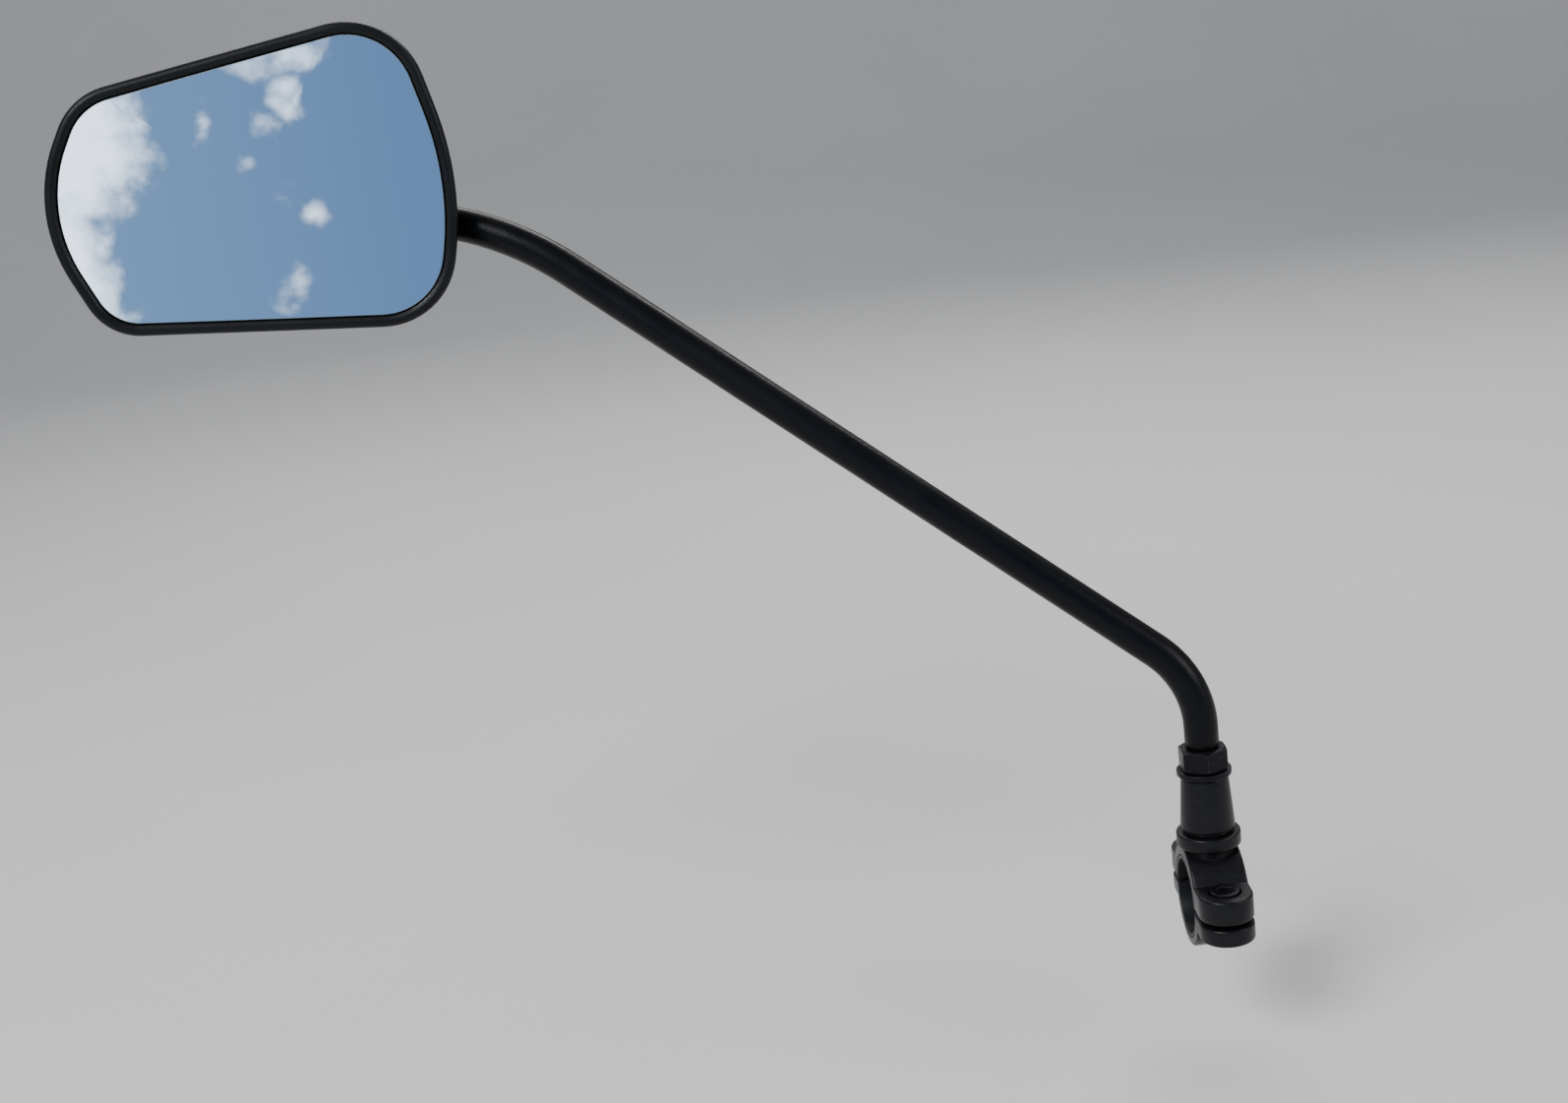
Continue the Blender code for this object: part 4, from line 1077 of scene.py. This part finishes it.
# Butyl sheet. A black double-sided sheet that bonds the glass to its plate. It's out of sight, so the CAD
# solid is kept and given tacky rubber.
butyl, tree, shader = new_material("butyl_sheet", (0.04, 0.04, 0.04), 0.8)
tacky = noise_on(tree, 300.0, 4.0)
tint = mix_colours(tree, tacky, (0.03, 0.03, 0.03), (0.06, 0.06, 0.06))
tree.links.new(tint, shader.inputs["Base Color"])
tree.links.new(spread(tree, tacky, 0.7, 0.9), shader.inputs["Roughness"])
bump_with(tree, shader, [tacky], [0.0001])
bonding_sheet = frame["nodes"]["adhesive_sheet"]
bonding_sheet.data.materials.clear()
bonding_sheet.data.materials.append(butyl)


# Back shell. A thin domed moulding clipped to the rim. Near its inboard edge it thickens into a block
# with the front half of the ball's cup, which the cup's cover is screwed to.
seam_gap = 0.0003
shell_wall, shell_dome, dome_rings = 0.0020, 0.0095, 18
cup_outer_radius, cup_radius = 0.0094, 0.0076
half_split = 0.00015
lug_radius, lug_circle = 0.0042, 0.0135
lug_angles = [math.radians(a) for a in (105, 180, 255)]
lug_places = [Vector((lug_circle * math.cos(a), 0, lug_circle * math.sin(a))) for a in lug_angles]
block_foot = 0.0085
cover_thickness = 0.0023
screw_hole_radius, screw_length = 0.0017, 0.0080
swing = math.radians(21.5)
mouth_radius = neck_radius / math.cos(swing) + fit_gap
lip_distance = 0.0054
lip_cut_radius = cup_outer_radius * 1.05
neck_in_head = head_turn.inverted() @ neck_axis
cutter_size = 0.06
hole_sides, round_sides = 24, 64


def depth_cylinder(place, radius, near, far, sides=48):
    """Adds a cylinder through the head's depth, to the piece being edited or as a new one."""
    bpy.ops.mesh.primitive_cylinder_add(
        vertices=sides,
        radius=radius,
        depth=far - near,
        location=(place.x, (near + far) / 2 - ball_depth, place.z),
        rotation=(math.pi / 2, 0, 0),
    )


def lugged_block(name, near, far):
    """A block round the cup and its three lugs: four cylinders wrapped in one convex skin."""
    bpy.ops.object.select_all(action="DESELECT")
    depth_cylinder(Vector(), cup_outer_radius, near, far)
    piece = bpy.context.object
    piece.name = name
    bpy.ops.object.transform_apply(location=True, rotation=True)
    bpy.ops.object.mode_set(mode="EDIT")
    for place in lug_places:
        depth_cylinder(place, lug_radius, near, far)
    bpy.ops.mesh.select_all(action="SELECT")
    bpy.ops.mesh.convex_hull()
    bpy.ops.mesh.select_all(action="SELECT")
    bpy.ops.mesh.dissolve_limited(angle_limit=math.radians(1))
    close_mesh()
    return piece


def ball_cutter(name, radius):
    """A ball about the joint's centre."""
    bpy.ops.object.select_all(action="DESELECT")
    bpy.ops.mesh.primitive_uv_sphere_add(
        segments=round_sides, ring_count=round_sides // 2, radius=radius
    )
    bpy.context.object.name = name
    return bpy.context.object


def screw_hole(piece, place, near, far):
    """Drills a hole for a cover screw through a piece's depth."""
    bpy.ops.object.select_all(action="DESELECT")
    depth_cylinder(place, screw_hole_radius, near, far, hole_sides)
    cut(piece, bpy.context.object)


def half_space(level, side):
    """A cube that takes up everything behind a level, or in front of it."""
    bpy.ops.object.select_all(action="DESELECT")
    middle = level - ball_depth + side * cutter_size / 2
    bpy.ops.mesh.primitive_cube_add(size=cutter_size, location=(0, middle, 0))
    return bpy.context.object


def neck_cutter(near, far, near_radius, far_radius):
    """A cone or cylinder about the rod's neck, in the head's axes."""
    bpy.ops.object.select_all(action="DESELECT")
    bpy.ops.mesh.primitive_cone_add(
        vertices=round_sides,
        radius1=near_radius,
        radius2=far_radius,
        depth=far - near,
        location=(0, 0, (near + far) / 2),
    )
    tool = bpy.context.object
    bpy.ops.object.transform_apply(location=True)
    tool.rotation_euler = neck_in_head.to_track_quat("Z", "Y").to_euler()
    bpy.ops.object.transform_apply(rotation=True)
    return tool


def open_mouth(piece):
    """Cuts the ball's cavity, and the opening that the neck swings in."""
    cut(piece, ball_cutter("cavity", cup_radius))
    reach = 3 * cup_outer_radius
    cut(piece, neck_cutter(0, reach, mouth_radius, mouth_radius + reach * math.tan(swing)))
    cut(piece, neck_cutter(lip_distance, reach, lip_cut_radius, lip_cut_radius))


shell = head_outline("domed_back", rim_draft, rim_depth + seam_gap)
shrink, rise = 1.0, 0.0
for i in range(1, dome_rings):
    angle = math.pi / 2 * i / dome_rings
    next_shrink, next_rise = math.sqrt(math.cos(angle)), shell_dome * math.sin(angle)
    draw_in(next_rise - rise, next_shrink / shrink)
    shrink, rise = next_shrink, next_rise
bpy.ops.mesh.edge_face_add()
bpy.ops.mesh.poke()
close_mesh()
bpy.ops.object.mode_set(mode="EDIT")
bpy.ops.mesh.select_all(action="SELECT")
if facing_back(shell) < 0:
    bpy.ops.mesh.flip_normals()
bpy.ops.object.mode_set(mode="OBJECT")
apply_modifier(shell, "SOLIDIFY", thickness=shell_wall, offset=-1.0, use_even_offset=True)
split_level = ball_depth - half_split
block = lugged_block("cup_block", block_foot, split_level + 2 * overcut)
edge_limit = head_outline("block_edge", rim_draft, block_foot - 2 * overcut)
bpy.ops.mesh.edge_face_add()
bpy.ops.mesh.extrude_region_move(TRANSFORM_OT_translate={"value": (0, cutter_size / 2, 0)})
close_mesh()
cut(block, edge_limit, "INTERSECT")
cut(shell, block, "UNION")
cut(shell, half_space(split_level, 1))
open_mouth(shell)
cover_face = ball_depth + half_split + cover_thickness
for place in lug_places:
    screw_hole(shell, place, cover_face - screw_length - shank_short, split_level + 2 * overcut)
smooth_between_edges(shell, 35)
put_on_head(shell)
shell.data.materials.append(moulding)
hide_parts("back_shell")
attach(shell, "head")


# Cup cover. A small moulded cover with the rear half of the ball's cup, held by three screws. Taking it
# off frees the ball.
cover_edge = 0.0006

cover = lugged_block("ball_cover", ball_depth + half_split, cover_face)
round_edges(cover, cover_edge, 4, 60)
dome = ball_cutter("cover_dome", cup_outer_radius)
cut(dome, half_space(ball_depth + half_split, -1))
cut(cover, dome, "UNION")
open_mouth(cover)
for place in lug_places:
    screw_hole(cover, place, ball_depth - overcut, cover_face + overcut)
smooth_between_edges(cover, 35)
put_on_head(cover)
cover.data.materials.append(moulding)
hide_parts("cup_cover")
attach(cover, "head")


# Cover screws. Three small zinc-plated socket screws, driven from behind through the cover's lugs into the
# shell's block.
bolt_radius, bolt_head_radius, bolt_head_height = 0.0014, 0.0028, 0.0020
bolt_socket, bolt_socket_depth = 0.0020, 0.0012

bright, tree, shader = new_material("bright_zinc_steel", (0.58, 0.58, 0.60), 0.25, 1.0)
plated = noise_on(tree, 500.0, 4.0)
tree.links.new(spread(tree, plated, 0.18, 0.34), shader.inputs["Roughness"])
tint = mix_colours(tree, spread(tree, plated, 0.0, 1.0), (0.50, 0.50, 0.53), (0.64, 0.64, 0.64))
tree.links.new(tint, shader.inputs["Base Color"])
bump_with(tree, shader, [noise_on(tree, 2200.0)], [0.00001])

first = socket_screw(
    "small_screw",
    bolt_radius,
    screw_length,
    bolt_head_radius,
    bolt_head_height,
    bolt_socket,
    bolt_socket_depth,
)
first.data.materials.append(bright)
for i, place in enumerate(lug_places, 1):
    screw = bpy.data.objects.new(f"cover_bolt_{i}", first.data.copy())
    bpy.context.scene.collection.objects.link(screw)
    screw.rotation_euler = (-math.pi / 2, 0, 0)
    screw.location = (place.x, cover_face + fit_gap - ball_depth, place.z)
    activate(screw)
    bpy.ops.object.transform_apply(location=True, rotation=True)
    put_on_head(screw)
    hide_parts(f"cover_screw_{i}")
    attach(screw, "head")
bpy.data.objects.remove(first)


# Ball and liners. A turned steel ball, pressed on the rod's pin, between two nylon half liners that give
# the joint its friction.
ball_radius, ball_flat = 0.0060, 0.0049
pin_bore = pin_radius + fit_gap
ball_steps, ball_edge = 24, 0.0002

moulded_nylon, tree, shader = new_material("moulded_nylon", (0.55, 0.54, 0.50), 0.45)
shader.inputs["Subsurface Weight"].default_value = 0.15
shader.inputs["Subsurface Radius"].default_value = (0.002, 0.0016, 0.0012)
milky = noise_on(tree, 160.0, 3.0)
tree.links.new(spread(tree, milky, 0.38, 0.55), shader.inputs["Roughness"])
tint = mix_colours(tree, spread(tree, milky, 0.0, 1.0), (0.50, 0.48, 0.43), (0.60, 0.59, 0.55))
tree.links.new(tint, shader.inputs["Base Color"])
bump_with(tree, shader, [noise_on(tree, 1500.0)], [0.00002])

start = math.asin(ball_flat / ball_radius)
turns = [start - (start + math.pi / 2) * i / ball_steps for i in range(ball_steps)]
profile = [(0, ball_flat - pin_length), (pin_bore, ball_flat - pin_length), (pin_bore, ball_flat)]
profile += [(ball_radius * math.cos(a), ball_radius * math.sin(a)) for a in turns]
ball = turned("turned_ball", profile + [(0, -ball_radius)])
round_edges(ball, ball_edge, 2, 50)
along_neck = neck_axis.to_track_quat("Z", "Y").to_matrix().to_4x4()
ball.matrix_world = Matrix.Translation(ball_centre) @ along_neck
bpy.ops.object.transform_apply(location=True, rotation=True)
ball.data.materials.append(bright)
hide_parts("ball")
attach(ball, "ball")
for node in ("liner_front", "liner_rear"):
    frame["nodes"][node].data.materials.clear()
    frame["nodes"][node].data.materials.append(moulded_nylon)
